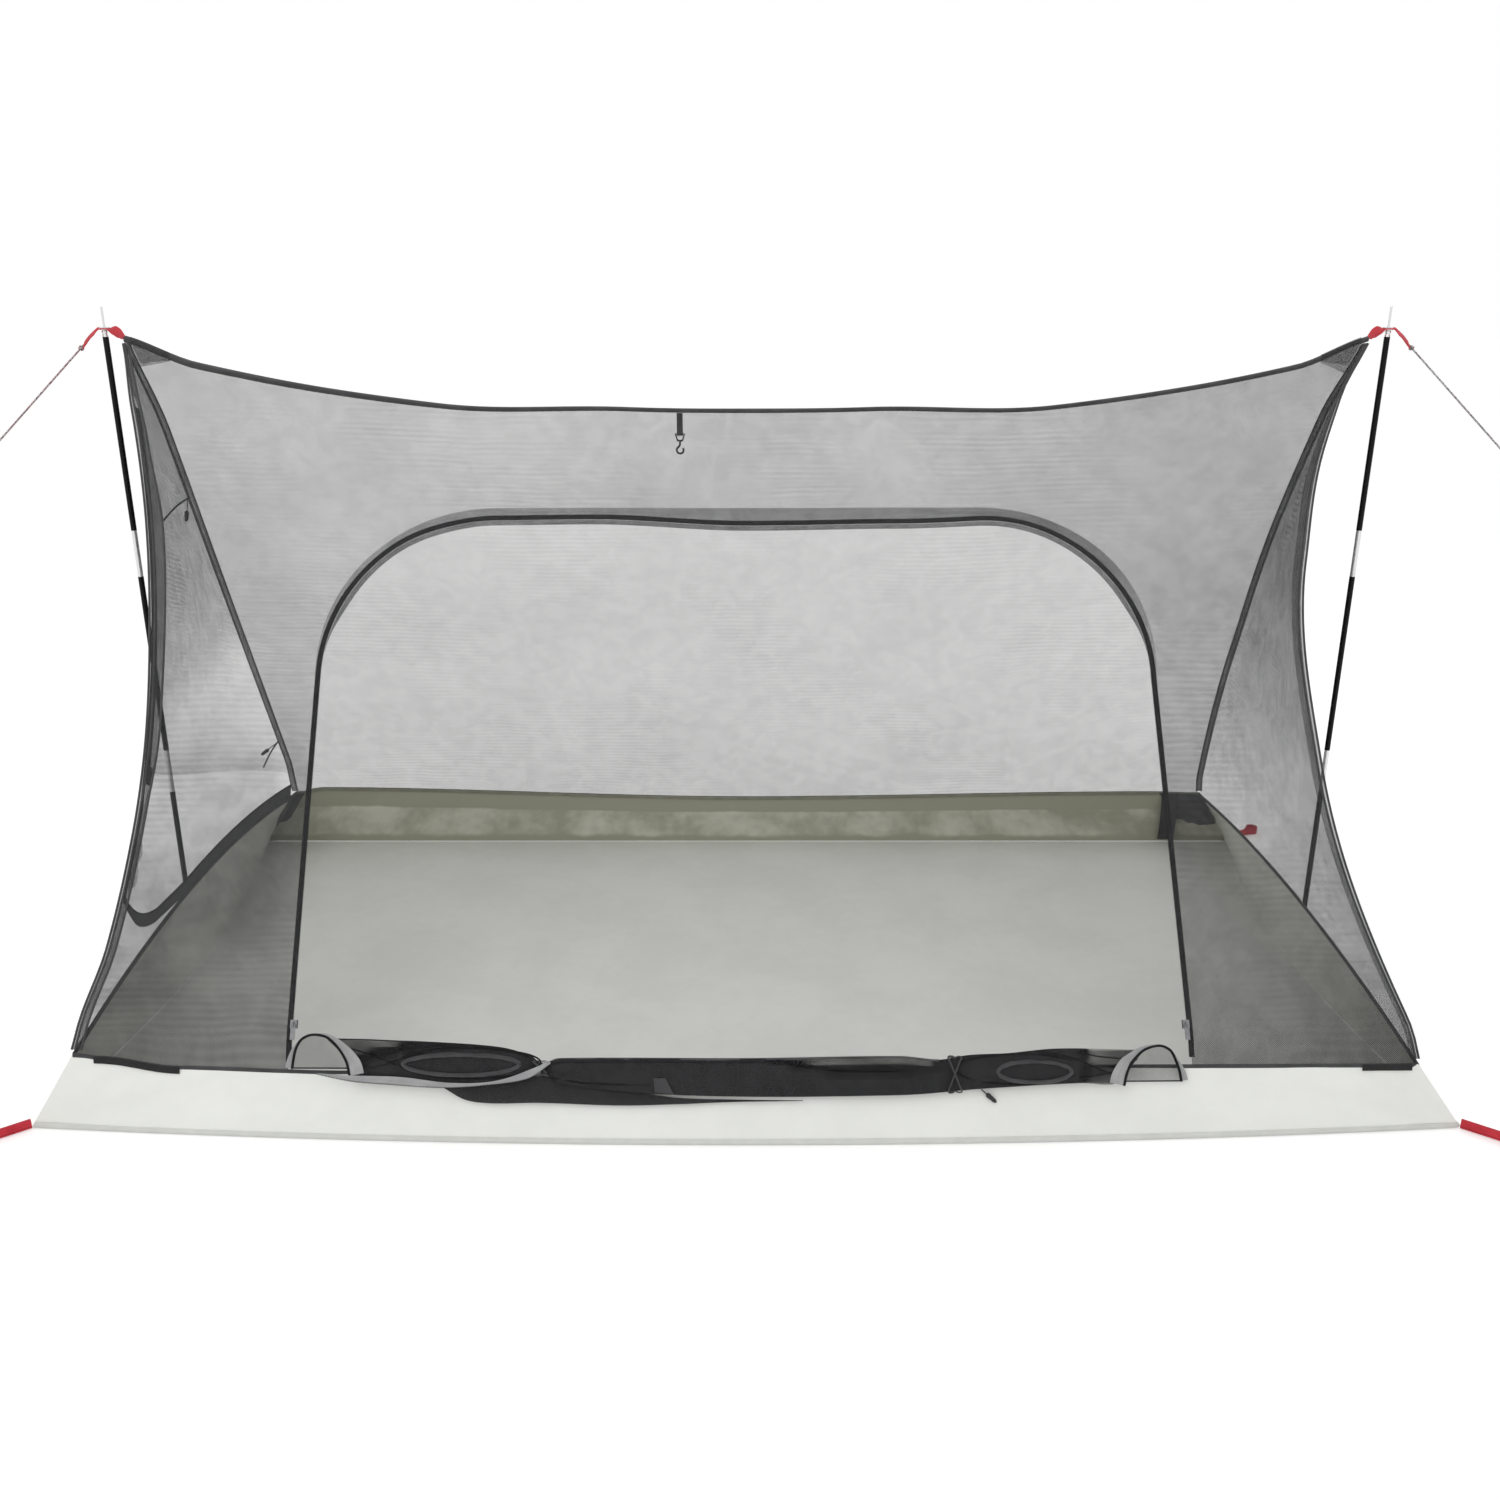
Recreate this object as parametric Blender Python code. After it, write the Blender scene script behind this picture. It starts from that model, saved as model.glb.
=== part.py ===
# A mesh inner tent for two people, pitched on two shock-corded poles.
# Metres, +Z up. +X runs along the ridge, the front door faces -Y, and the
# origin is on the ground under the middle of the floor.

import math

import bmesh
import bpy
from mathutils import Matrix, Vector

# Tub: the coated floor and the four low walls that lean inwards.
FLOOR_LENGTH = 2.200
FLOOR_WIDTH = 1.116
FLOOR_THICKNESS = 0.0015
FRONT_BOW = 0.045  # the front edge of the floor bows out, because nothing pulls it
END_DRAW_IN = 0.064  # the short edges curve in between the pegged corners
RIM_LENGTH = 2.036
RIM_WIDTH = 1.094
WALL_HEIGHT = 0.123
LEFT_RIM_RISE = 0.045  # how much higher an end wall stands at its middle
RIGHT_RIM_RISE = 0.032
CLOTH_THICKNESS = 0.0012
END_TOP_SHARE = 0.950  # an end panel stops short of the apex, as a share of its height
END_GAP = 0.0010
RIM_TAPE_HEIGHT = 0.016
RIM_TAPE_THICKNESS = 0.003

# Canopy: four mesh panels that hang from a ridge between the two apexes.
RIDGE_SPAN = 2.048
APEX_HEIGHT = 1.139
RIDGE_SAG = 0.116
RIDGE_CURVE = 2.3  # above 2, the ridge is flatter at the middle than a parabola
MESH_THICKNESS = 0.0010
SEAM_RADIUS = 0.0045
SEAM_START = 0.018  # bare length at each end of a corner seam
LEFT_FRONT_SAG = 0.082  # how far the middle of each corner seam is drawn in
RIGHT_FRONT_SAG = 0.130
RIGHT_BACK_SAG = 0.033
PATCH_LENGTH = 0.085
PATCH_DROP = 0.060
PATCH_TIP = 0.006
PATCH_GAP = 0.0009
PATCH_THICKNESS = 0.0008

# Front door: a D-shaped opening with a zip all round, down to the sill.
DOOR_LEFT_SILL = 0.691
DOOR_RIGHT_SILL = 0.673
DOOR_LEFT_LEAN = 0.011
DOOR_RIGHT_LEAN = 0.026
DOOR_SLOPE_HEIGHT = 0.861
DOOR_RADIUS = 0.270
DOOR_FOOT = 0.009  # height of the zip's lowest end above the rim, up the slope
ZIP_TAPE_WIDTH = 0.018
ZIP_TAPE_THICKNESS = 0.0010
COIL_RADIUS = 0.0013
COIL_OFFSET = 0.0022  # from the middle of the zip to the middle of one coil

# The opened door, dropped over the sill and held by two elastic ties.
FOLD_START = 0.045
FOLD_CENTRE_HEIGHT = 0.083
FOLD_HALF_HEIGHT = 0.037
FOLD_HALF_DEPTH = 0.009
FOLD_CLEARANCE = 0.0058
ROLL_LIFT = 0.030
ROLL_FULLNESS = 0.5
ROLL_LENGTH = 0.075
LEFT_ROLL = -0.450
RIGHT_ROLL = 0.455
LEFT_TIE = -0.304
RIGHT_TIE = 0.330
TIE_RADIUS = 0.0012
TIE_SLACK = 0.0022
TIE_FRONT = 0.0058
TIE_PINCH_SHARE = 0.42
TIE_LENGTH = 0.045
TIE_LIFT = 0.014
ARCH_WIDTH = 0.088
ARCH_HEIGHT = 0.074
ARCH_BASE = 0.088
ARCH_TAPE_WIDTH = 0.013
ARCH_SKIRT = 0.016
EDGE_STEPS = 40
FOLD_STEPS = 44
ARCH_STEPS = 9
EDGE_DROP = 0.004
EDGE_LIFT = 0.011
EDGE_GAP = 0.0016
CREASE_REACH = 1.36  # the front of the folds at their fullest
LEFT_ARCH = -0.628
RIGHT_ARCH = 0.612

# End door on the left, zipped along the rim and up the front seam.
HEM_BACK_SHARE = 0.060  # where the hem meets the seams, as shares of their height
HEM_FRONT_SHARE = 0.375
END_ZIP_INSET = 0.0150
END_TAPE_WIDTH = 0.0075
END_BAND_WIDTH = 0.020
HOOK_START_SHARE = 0.70
HOOK_JOIN_SHARE = 0.185
END_ZIP_TOP_SHARE = 0.900
END_ZIP_LOW_SHARE = 0.340
END_DOOR_GAP = 0.0008
END_DOOR_TOP_SHARE = 0.915
END_DOOR_TAIL_SHARE = 0.015  # the door's zip half runs on below the slider
GATHER_PLACE_SHARE = 0.965
GATHER_LENGTH = 0.185
GATHER_RADIUS = 0.0085
GATHER_SWAY = 0.055
GATHER_LUMP = 1.5

# Zip sliders and their pulls.
SLIDER_WIDTH = 0.0100
SLIDER_LENGTH = 0.0130
SLIDER_PLATE = 0.0012
SLIDER_CHANNEL = 0.0036
SLIDER_POST = 0.0014
SLIDER_HEIGHT = 0.036
BRIDGE_INSIDE_LENGTH = 0.0040
BRIDGE_INSIDE_HEIGHT = 0.0026
BRIDGE_THICKNESS = 0.0012
BRIDGE_WIDTH = 0.0018
PULL_WIDTH = 0.0070
PULL_LENGTH = 0.0240
PULL_THICKNESS = 0.0012
PULL_BAR = 0.0012
PULL_HOLE_LENGTH = 0.0052
PULL_HOLE_WIDTH = 0.0040

# Poles: three steel sections with sleeves, a spiked tip and a foot cap.
POLE_CLEARANCE = 0.031  # from an apex to the pole's axis
POLE_RADIUS = 0.00475
POLE_BORE = 0.00390
POLE_FIT = 0.00030
POLE_ABOVE_APEX = 0.003
SLEEVE_LENGTH = 0.081
SLEEVE_RADIUS = 0.00455
SPIGOT_LENGTH = 0.060
NECK_LENGTH = 0.030
SLEEVE_BORE = 0.00210
SHOCK_CORD_RADIUS = 0.00125
FOOT_HEIGHT = 0.028
FOOT_RADIUS = 0.0072
FOOT_FLOOR = 0.0200
SPIKE_RADIUS = 0.0019
SPIKE_LENGTH = 0.042
PIVOT_ABOVE_TUBE = 0.0080
DOME_RADIUS = 0.0050
DOME_START = 0.65  # radians below the dome's widest ring
TIP_PLUG_LENGTH = 0.024
SPIGOT_TAPER = 0.0010
SPIGOT_TIP = 0.85

# Webbing, eyelets and guylines.
WEBBING_THICKNESS = 0.0018
APEX_WEBBING_WIDTH = 0.020
EYELET_BORE = 0.0042
EYELET_FLANGE = 0.0082
EYELET_WALL = 0.0010
EYELET_THICKNESS = 0.0010
WEBBING_REACH = 0.038
WEBBING_DROP = 0.026
LOOP_LENGTH = 0.100
LOOP_HEIGHT = 0.015
LOOP_EYE = 0.012
LOOP_TURN = 37.0
LOOP_LAYER = 0.0024
LOOP_CLOTH = 0.0013
GUY_RADIUS = 0.0015
GUY_SLOPE = 43.0
GUY_LENGTH = 0.310
GUY_STEPS = 48
KNOT_SWELL = 2.0  # how much wider than the cord a knot is, less one

# Lantern strap and hook under the ridge, and the small toggles.
LANTERN_PLACE = -0.112
STRAP_WIDTH = 0.010
STRAP_THICKNESS = 0.0012
STRAP_LENGTH = 0.034
HOOK_WIRE = 0.0017
HOOK_EYE_WIDTH = 0.0150
HOOK_EYE_HEIGHT = 0.0110
HOOK_SHANK = 0.0100
HOOK_BEND = 0.0058
TOGGLE_RADIUS = 0.0028
TOGGLE_LENGTH = 0.020
TOGGLE_CORD = 0.0010
TOGGLE_CORD_LENGTH = 0.026
SILL_CORD_LENGTH = 0.007
UPPER_TOGGLE_SHARE = 0.72
LOWER_TOGGLE_SHARE = 0.15
SILL_TOGGLE = 0.372
POCKET_STRAP_INSET = 0.066  # from the rim's end
POCKET_STRAP_WIDTH = 0.036
POCKET_STRAP_LENGTH = 0.112

# Shapes of the small pieces, as shares, turns and angles.
PANEL_TURN_SHARE = 0.62  # where the front panel's division turns its upper corners
PATCH_TOP_SHARE = 1.8  # the patch's upper edge, in seam radii from the ridge
PATCH_SIDE_SHARE = 1.6  # its side, in seam insets from the corner seam
PATCH_WRAP_ANGLE = 32.0
FINE_CREASE_TURNS = 5
FINE_CREASE_TWIST = 9.0
FINE_CREASE_DEPTH = 0.22
WIDE_CREASE_TURNS = 3
WIDE_CREASE_TWIST = -5.0
WIDE_CREASE_DEPTH = 0.14
ARCH_FILL_SHARE = 0.96
ARCH_INSET = 0.0010
EDGE_JOIN_SHARE = 0.05
TIE_FRONT_SHARE = 1.6
HOOK_BACK_SHARE = 0.035
GATHER_TOP_SHARE = 0.55
GATHER_FULL_PLACE = 0.6
GATHER_LUMP_PLACE = 0.86
GATHER_LUMP_WIDTH = 0.12
GATHER_TIP_SHARE = 0.35
GATHER_TIP_PLACE = 0.93
GATHER_FOLDS = 4
GATHER_FOLD_DEPTH = 0.22
GATHER_FOLD_TWIST = 3.0
SPIKE_TAPER_SHARE = 0.4
SPIKE_TAPER_LENGTH = 1.5  # in spike radii
FOOT_TOE_SHARE = 0.8
FOOT_TOE_HEIGHT = 0.6
FOOT_TOP_SHARE = 0.9
WEBBING_CROWN = 0.003
WEBBING_SWAY = 0.002
LOOP_NECK_SHARE = 2.2
LOOP_EYE_ANGLE = 140.0
KNOT_PLACE = 1.3  # in steps of the guyline from its end
STRAP_NECK_SHARE = 2.2
STRAP_EYE_START = 40.0
STRAP_EYE_END = -220.0
HOOK_EYE_TAPER = 0.55
HOOK_SHANK_SHARE = 0.6
HOOK_BEND_START = 110.0
HOOK_BEND_END = 395.0
TOGGLE_TAPER = 0.7
TOGGLE_GRIP = 0.004  # how far the cord runs up inside the toggle
TOGGLE_LEAN = (0.0, -0.55, -0.84)
SILL_TOGGLE_LEAN = (0.5, 0.0, -0.9)
POCKET_STRAP_TOP = 0.6
POCKET_STRAP_BELLY = 0.006
SMOOTH_ANGLE = 35.0

# Clearances between pieces that touch, and how finely curves are divided.
TOUCH = 0.0003
SEAM_GAP = 0.0004
LONG_STEPS = 24
SHORT_STEPS = 12
ROUND_SIDES = 16

HALF_FLOOR_LENGTH = FLOOR_LENGTH / 2
HALF_FLOOR_WIDTH = FLOOR_WIDTH / 2
HALF_RIM_LENGTH = RIM_LENGTH / 2
HALF_RIM_WIDTH = RIM_WIDTH / 2
HALF_RIDGE = RIDGE_SPAN / 2
POLE_X = HALF_RIDGE + POLE_CLEARANCE
POLE_TOP = APEX_HEIGHT + POLE_ABOVE_APEX
TUBE_LENGTH = (POLE_TOP - FOOT_FLOOR - 2 * SLEEVE_LENGTH) / 3
SEAM_INSET = SEAM_RADIUS + 2 * SEAM_GAP
RIM_INSET = RIM_TAPE_HEIGHT / 2 + SEAM_GAP
FRONT = -1
BACK = 1
LEFT = -1
RIGHT = 1


# Small helpers.


def lerp(a, b, t):
    return a + (b - a) * t


def spread(count):
    return [i / count for i in range(count + 1)]


def bump(x, centre, width):
    return math.exp(-(((x - centre) / width) ** 2))


def smooth(t):
    t = min(1.0, max(0.0, t))
    return t * t * (3 - 2 * t)


def clear_scene():
    for obj in list(bpy.data.objects):
        bpy.data.objects.remove(obj)


def add_object(name, data):
    obj = bpy.data.objects.new(name, data)
    bpy.context.scene.collection.objects.link(obj)
    return obj


def mesh_object(name, bm):
    mesh = bpy.data.meshes.new(name)
    bm.to_mesh(mesh)
    bm.free()
    return add_object(name, mesh)


def move_origin(obj, place):
    obj.data.transform(Matrix.Translation(-Vector(place)))
    obj.location = place
    return obj


def hang_from(centre, name, pieces):
    # An empty on a joint's axis carries the pieces that turn about it.
    empty = add_object(name, None)
    empty.location = centre
    for piece in pieces:
        piece.parent = empty
        piece.matrix_parent_inverse = Matrix.Translation(-Vector(centre))


def finish(obj, kind, colour, roughness, metallic=0.0):
    material = bpy.data.materials.new(f"{obj.name}_{kind}")
    material.use_nodes = True
    shader = material.node_tree.nodes["Principled BSDF"]
    shader.inputs["Base Color"].default_value = (*colour, 1.0)
    shader.inputs["Roughness"].default_value = roughness
    shader.inputs["Metallic"].default_value = metallic
    obj.data.materials.append(material)
    return obj


# Materials.


def black_mesh(obj):
    return finish(obj, "black_mesh", (0.045, 0.045, 0.047), 0.8)


def coated_cloth(obj):
    return finish(obj, "coated_cloth", (0.70, 0.71, 0.66), 0.45)


def black_tape(obj):
    return finish(obj, "black_tape", (0.055, 0.055, 0.058), 0.75)


def grey_tape(obj):
    return finish(obj, "grey_tape", (0.33, 0.33, 0.34), 0.8)


def red_webbing(obj):
    return finish(obj, "red_webbing", (0.55, 0.025, 0.035), 0.7)


def bright_steel(obj):
    return finish(obj, "bright_steel", (0.72, 0.72, 0.73), 0.25, 1.0)


def black_paint(obj):
    return finish(obj, "black_paint", (0.010, 0.010, 0.011), 0.35)


def hard_plastic(obj):
    return finish(obj, "hard_plastic", (0.03, 0.03, 0.032), 0.45)


def flecked_cord(obj):
    return finish(obj, "flecked_cord", (0.42, 0.38, 0.38), 0.8)


# Ways of making a solid.


def thicken(obj, thickness):
    shell = obj.modifiers.new("thickness", "SOLIDIFY")
    shell.thickness = thickness
    shell.offset = 0.0
    shell.use_even_offset = True
    return obj


def sheet(name, grid, thickness, ring=False):
    bm = bmesh.new()
    rows = [[bm.verts.new(point) for point in row] for row in grid]
    if ring:
        rows.append(rows[0])
    for low, high in zip(rows, rows[1:]):
        for i in range(len(low) - 1):
            bm.faces.new((low[i], low[i + 1], high[i + 1], high[i]))
    return thicken(mesh_object(name, bm), thickness)


def band(points, sides, widths):
    half = [side.normalized() * width / 2 for side, width in zip(sides, widths)]
    return [[p - h, p + h] for p, h in zip(points, half)]


def tube(name, path, radius, resolution=1, closed=False, swell=None):
    curve = bpy.data.curves.new(name, "CURVE")
    curve.dimensions = "3D"
    curve.bevel_depth = radius
    curve.bevel_resolution = resolution
    curve.use_fill_caps = True
    spline = curve.splines.new("POLY")
    spline.points.add(len(path) - 1)
    spline.use_cyclic_u = closed
    for i, (point, place) in enumerate(zip(spline.points, path)):
        point.co = (*place, 1.0)
        point.radius = swell[i] if swell else 1.0
    return add_object(name, curve)


def tube_mesh(name, path, radius, resolution=1, closed=False):
    curve = tube(f"{name}_line", path, radius, resolution, closed)
    mesh = bpy.data.meshes.new_from_object(curve)
    bpy.data.objects.remove(curve)
    return add_object(name, mesh)


def zip_half(name, path, acrosses, outs, widths):
    # A tape with a round bead of coil along one edge. The tape lies on the
    # side that acrosses points to.
    flat = ZIP_TAPE_THICKNESS / 2
    start = math.asin(flat / COIL_RADIUS)
    sections = []
    for place, across, out, width in zip(path, acrosses, outs, widths):
        ring = []
        for t in spread(5):
            angle = lerp(start, math.tau - start, t)
            x = COIL_RADIUS * math.cos(angle)
            ring.append(place + across * x + out * (COIL_RADIUS * math.sin(angle)))
        reach = COIL_RADIUS + width
        ring.append(place + across * reach - out * flat)
        ring.append(place + across * reach + out * flat)
        sections.append(ring)
    return loft(name, [sections])


def turned(name, profile, centre, sides=ROUND_SIDES):
    bm = bmesh.new()
    points = [bm.verts.new((radius, 0.0, height)) for radius, height in profile]
    edges = [bm.edges.new(pair) for pair in zip(points, points[1:])]
    if profile[0][0] > 0:
        edges.append(bm.edges.new((points[-1], points[0])))
    bmesh.ops.spin(
        bm,
        geom=points + edges,
        cent=(0, 0, 0),
        axis=(0, 0, 1),
        angle=math.tau,
        steps=sides,
        use_merge=True,
    )
    bmesh.ops.remove_doubles(bm, verts=bm.verts, dist=1e-6)
    bmesh.ops.recalc_face_normals(bm, faces=bm.faces)
    obj = mesh_object(name, bm)
    obj.data.shade_smooth()
    obj.data.set_sharp_from_angle(angle=math.radians(SMOOTH_ANGLE))
    obj.location = centre
    return obj


def extruded(name, outline, depth):
    bm = bmesh.new()
    face = bm.faces.new([bm.verts.new((x, y, 0.0)) for x, y in outline])
    grown = bmesh.ops.extrude_face_region(bm, geom=[face])["geom"]
    lifted = [item for item in grown if isinstance(item, bmesh.types.BMVert)]
    bmesh.ops.translate(bm, verts=lifted, vec=(0, 0, depth))
    bmesh.ops.recalc_face_normals(bm, faces=bm.faces)
    return mesh_object(name, bm)


def combine(target, other, operation):
    other.hide_render = True
    other.display_type = "WIRE"
    step = target.modifiers.new(operation.lower(), "BOOLEAN")
    step.operation = operation
    step.object = other
    step.solver = "EXACT"
    return target


def stand(obj, origin, across, along, out):
    frame = Matrix((across, along, out)).transposed().to_4x4()
    obj.matrix_world = Matrix.Translation(origin) @ frame
    return obj


# Curves and surfaces of the pitched tent.


def ridge_height(x):
    share = min(1.0, abs(x) / HALF_RIDGE)
    return APEX_HEIGHT - RIDGE_SAG * (1 - share**RIDGE_CURVE)


def slope_length(x):
    return math.hypot(HALF_RIM_WIDTH, ridge_height(x) - WALL_HEIGHT)


def side_point(face, x, v):
    y = face * HALF_RIM_WIDTH * (1 - v)
    return Vector((x, y, lerp(WALL_HEIGHT, ridge_height(x), v)))


def side_normal(face, x, v):
    step = 1e-3
    along = side_point(face, x + step, v) - side_point(face, x - step, v)
    up = side_point(face, x, v + step) - side_point(face, x, v - step)
    normal = along.cross(up).normalized()
    return normal if normal.y * face > 0 else -normal


def side_lifted(face, x, v, lift):
    return side_point(face, x, v) + side_normal(face, x, v) * lift


def seam_sag(side, face):
    if side == LEFT:
        return LEFT_FRONT_SAG if face == FRONT else 0.0
    return RIGHT_FRONT_SAG if face == FRONT else RIGHT_BACK_SAG


def seam_x(side, face, v):
    reach = lerp(HALF_RIM_LENGTH, HALF_RIDGE, v)
    return side * (reach - seam_sag(side, face) * 4 * v * (1 - v))


def seam_inset(side, face, v):
    # The seam's inset measured along X, since the seam runs at a slant.
    slant = seam_x(side, face, v + 0.001) - seam_x(side, face, v - 0.001)
    return SEAM_INSET * math.hypot(1.0, slant / 0.002 / slope_length(0.0))


def seam_point(side, face, v):
    if seam_sag(side, face) == 0.0:
        low = Vector((side * HALF_RIM_LENGTH, face * HALF_RIM_WIDTH, WALL_HEIGHT))
        high = Vector((side * HALF_RIDGE, 0.0, APEX_HEIGHT))
        return low.lerp(high, v)
    return side_point(face, seam_x(side, face, v), v)


def seam_length():
    return math.hypot(HALF_RIM_WIDTH, APEX_HEIGHT - WALL_HEIGHT)


def rim_rise(side, u):
    rise = LEFT_RIM_RISE if side == LEFT else RIGHT_RIM_RISE
    return rise * 4 * u * (1 - u)


def end_point(side, u, v):
    back = seam_point(side, BACK, v)
    front = seam_point(side, FRONT, v)
    place = back.lerp(front, u)
    place.z += rim_rise(side, u) * (1 - v) ** 2
    return place


def end_rim_v(side, u, rise):
    # The height share at which the panel is this far straight above the rim.
    v = 0.0
    for _ in range(5):
        rim_u = 0.5 + (u - 0.5) * (1 - v)
        target = rim_rise(side, rim_u) + rise
        v = (target - rim_rise(side, u) * (1 - v) ** 2) / (APEX_HEIGHT - WALL_HEIGHT)
    return v


def end_inset(v, inset):
    seam_lean = (APEX_HEIGHT - WALL_HEIGHT) / seam_length()
    return inset / seam_lean / (RIM_WIDTH * (1 - v))


def end_normal(side, u, v):
    step = 1e-3
    along = end_point(side, u + step, v) - end_point(side, u - step, v)
    up = end_point(side, u, v + step) - end_point(side, u, v - step)
    normal = along.cross(up).normalized()
    return normal if normal.x * side > 0 else -normal


def front_bow(x):
    return FRONT_BOW * (1 - (x / HALF_FLOOR_LENGTH) ** 2)


def floor_edge(kind, t):
    if kind == "front":
        x = lerp(-HALF_FLOOR_LENGTH, HALF_FLOOR_LENGTH, t)
        return Vector((x, -HALF_FLOOR_WIDTH - front_bow(x), 0.0))
    if kind == "back":
        x = lerp(-HALF_FLOOR_LENGTH, HALF_FLOOR_LENGTH, t)
        return Vector((x, HALF_FLOOR_WIDTH, 0.0))
    side = LEFT if kind == "left" else RIGHT
    y = lerp(-HALF_FLOOR_WIDTH, HALF_FLOOR_WIDTH, t)
    drawn = END_DRAW_IN * (1 - (y / HALF_FLOOR_WIDTH) ** 2)
    return Vector((side * (HALF_FLOOR_LENGTH - drawn), y, 0.0))


def rim_edge(kind, t):
    if kind in ("front", "back"):
        face = FRONT if kind == "front" else BACK
        x = lerp(-HALF_RIM_LENGTH, HALF_RIM_LENGTH, t)
        return Vector((x, face * HALF_RIM_WIDTH, WALL_HEIGHT))
    side = LEFT if kind == "left" else RIGHT
    return end_point(side, 1 - t, 0.0)


def wall_outside(x, z):
    share = max(0.0, 1 - z / WALL_HEIGHT)
    reach = HALF_FLOOR_WIDTH + front_bow(x) - HALF_RIM_WIDTH
    return -HALF_RIM_WIDTH - reach * share


def door_path(offset):
    top = DOOR_SLOPE_HEIGHT
    low = DOOR_FOOT
    spring = top - DOOR_RADIUS
    radius = DOOR_RADIUS + offset
    left_top = -DOOR_LEFT_SILL + DOOR_LEFT_LEAN
    right_top = DOOR_RIGHT_SILL - DOOR_RIGHT_LEAN
    left_centre = left_top + DOOR_RADIUS
    right_centre = right_top - DOOR_RADIUS
    path = []
    for t in spread(SHORT_STEPS)[:-1]:
        x = lerp(-DOOR_LEFT_SILL, left_top, t) - offset
        path.append((x, lerp(low, spring, t)))
    for t in spread(SHORT_STEPS)[:-1]:
        angle = math.pi * (1 - t / 2)
        x = left_centre + radius * math.cos(angle)
        path.append((x, spring + radius * math.sin(angle)))
    for t in spread(SHORT_STEPS)[:-1]:
        path.append((lerp(left_centre, right_centre, t), top + offset))
    for t in spread(SHORT_STEPS)[:-1]:
        angle = math.pi / 2 * (1 - t)
        x = right_centre + radius * math.cos(angle)
        path.append((x, spring + radius * math.sin(angle)))
    for t in spread(SHORT_STEPS):
        x = lerp(right_top, DOOR_RIGHT_SILL, t) + offset
        path.append((x, lerp(spring, low, t)))
    return path


def door_place(x, s, lift=0.0):
    return side_lifted(FRONT, x, s / slope_length(x), lift)


# Tub.


def make_floor():
    outline = []
    for t in spread(LONG_STEPS):
        outline.append(floor_edge("front", t))
    for t in spread(SHORT_STEPS)[1:]:
        outline.append(floor_edge("right", t))
    for t in spread(2)[1:]:
        outline.append(floor_edge("back", 1 - t))
    for t in spread(SHORT_STEPS)[1:-1]:
        outline.append(floor_edge("left", 1 - t))
    flat = [(point.x, point.y) for point in outline]
    coated_cloth(extruded("floor_sheet", flat, FLOOR_THICKNESS))


def perimeter():
    # Once round the tub: which edge, and how far along it.
    places = []
    for kind, steps, backwards in (
        ("front", LONG_STEPS, False),
        ("right", SHORT_STEPS, False),
        ("back", LONG_STEPS // 3, True),
        ("left", SHORT_STEPS, True),
    ):
        for t in spread(steps)[:-1]:
            places.append((kind, 1 - t if backwards else t))
    return places


def make_wall():
    rise = FLOOR_THICKNESS + TOUCH + CLOTH_THICKNESS / 2
    grid = []
    for kind, t in perimeter():
        low = floor_edge(kind, t) + Vector((0, 0, rise))
        top = rim_edge(kind, t)
        top = top.lerp(low, RIM_INSET / (top.z - low.z))
        grid.append([low.lerp(top, row) for row in spread(3)])
    coated_cloth(sheet("tub_wall", grid, CLOTH_THICKNESS, ring=True))


def make_rim_tape():
    half = Vector((0, 0, RIM_TAPE_HEIGHT / 2))
    grid = []
    for kind, t in perimeter():
        place = rim_edge(kind, t)
        grid.append([place - half, place + half])
    black_tape(sheet("rim_binding", grid, RIM_TAPE_THICKNESS, ring=True))


# Canopy.


def side_x_range(face, v):
    left = seam_x(LEFT, face, v) + seam_inset(LEFT, face, v)
    right = seam_x(RIGHT, face, v) - seam_inset(RIGHT, face, v)
    return left, right


def side_v_range():
    low = RIM_INSET / (ridge_height(0.0) - WALL_HEIGHT)
    return low, 1 - (SEAM_INSET + SEAM_GAP) / slope_length(0.0)


def make_back_mesh():
    low, high = side_v_range()
    grid = []
    for row in spread(8):
        v = lerp(low, high, row)
        left, right = side_x_range(BACK, v)
        grid.append([side_point(BACK, lerp(left, right, t), v) for t in spread(LONG_STEPS)])
    black_mesh(sheet("mesh_back", grid, MESH_THICKNESS))


def outer_boundary():
    # The front panel's outer edge, divided to match door_path: up the left
    # seam, along the ridge and down the right seam.
    low, high = side_v_range()
    leg = spread(SHORT_STEPS)
    half = SHORT_STEPS // 2
    turn = PANEL_TURN_SHARE
    path = []
    for t in leg[:-1]:
        path.append((LEFT, lerp(low, turn, t)))
    for t in spread(half)[:-1]:
        path.append((LEFT, lerp(turn, high, t)))
    for t in spread(half)[:-1]:
        path.append(("ridge", lerp(-1, -turn, t)))
    for t in leg[:-1]:
        path.append(("ridge", lerp(-turn, turn, t)))
    for t in spread(half)[:-1]:
        path.append(("ridge", lerp(turn, 1, t)))
    for t in spread(half)[:-1]:
        path.append((RIGHT, lerp(high, turn, t)))
    for t in leg:
        path.append((RIGHT, lerp(turn, low, t)))
    places = []
    for where, t in path:
        if where == "ridge":
            left, right = side_x_range(FRONT, high)
            places.append((lerp(left, right, (t + 1) / 2), high))
        else:
            left, right = side_x_range(FRONT, t)
            places.append((left if where == LEFT else right, t))
    return places


def make_front_mesh():
    rows = 5
    edge = ZIP_TAPE_WIDTH + COIL_OFFSET + COIL_RADIUS + 2 * SEAM_GAP
    low, _ = side_v_range()
    inner = [(x, max(low, s / slope_length(x))) for x, s in door_path(edge)]
    inner[0] = (inner[0][0], low)
    inner[-1] = (inner[-1][0], low)
    grid = []
    for start, end in zip(inner, outer_boundary()):
        line = []
        for t in spread(rows):
            x = lerp(start[0], end[0], t)
            v = lerp(start[1], end[1], t)
            line.append(side_point(FRONT, x, v))
        grid.append(line)
    black_mesh(sheet("mesh_front", grid, MESH_THICKNESS))


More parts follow.
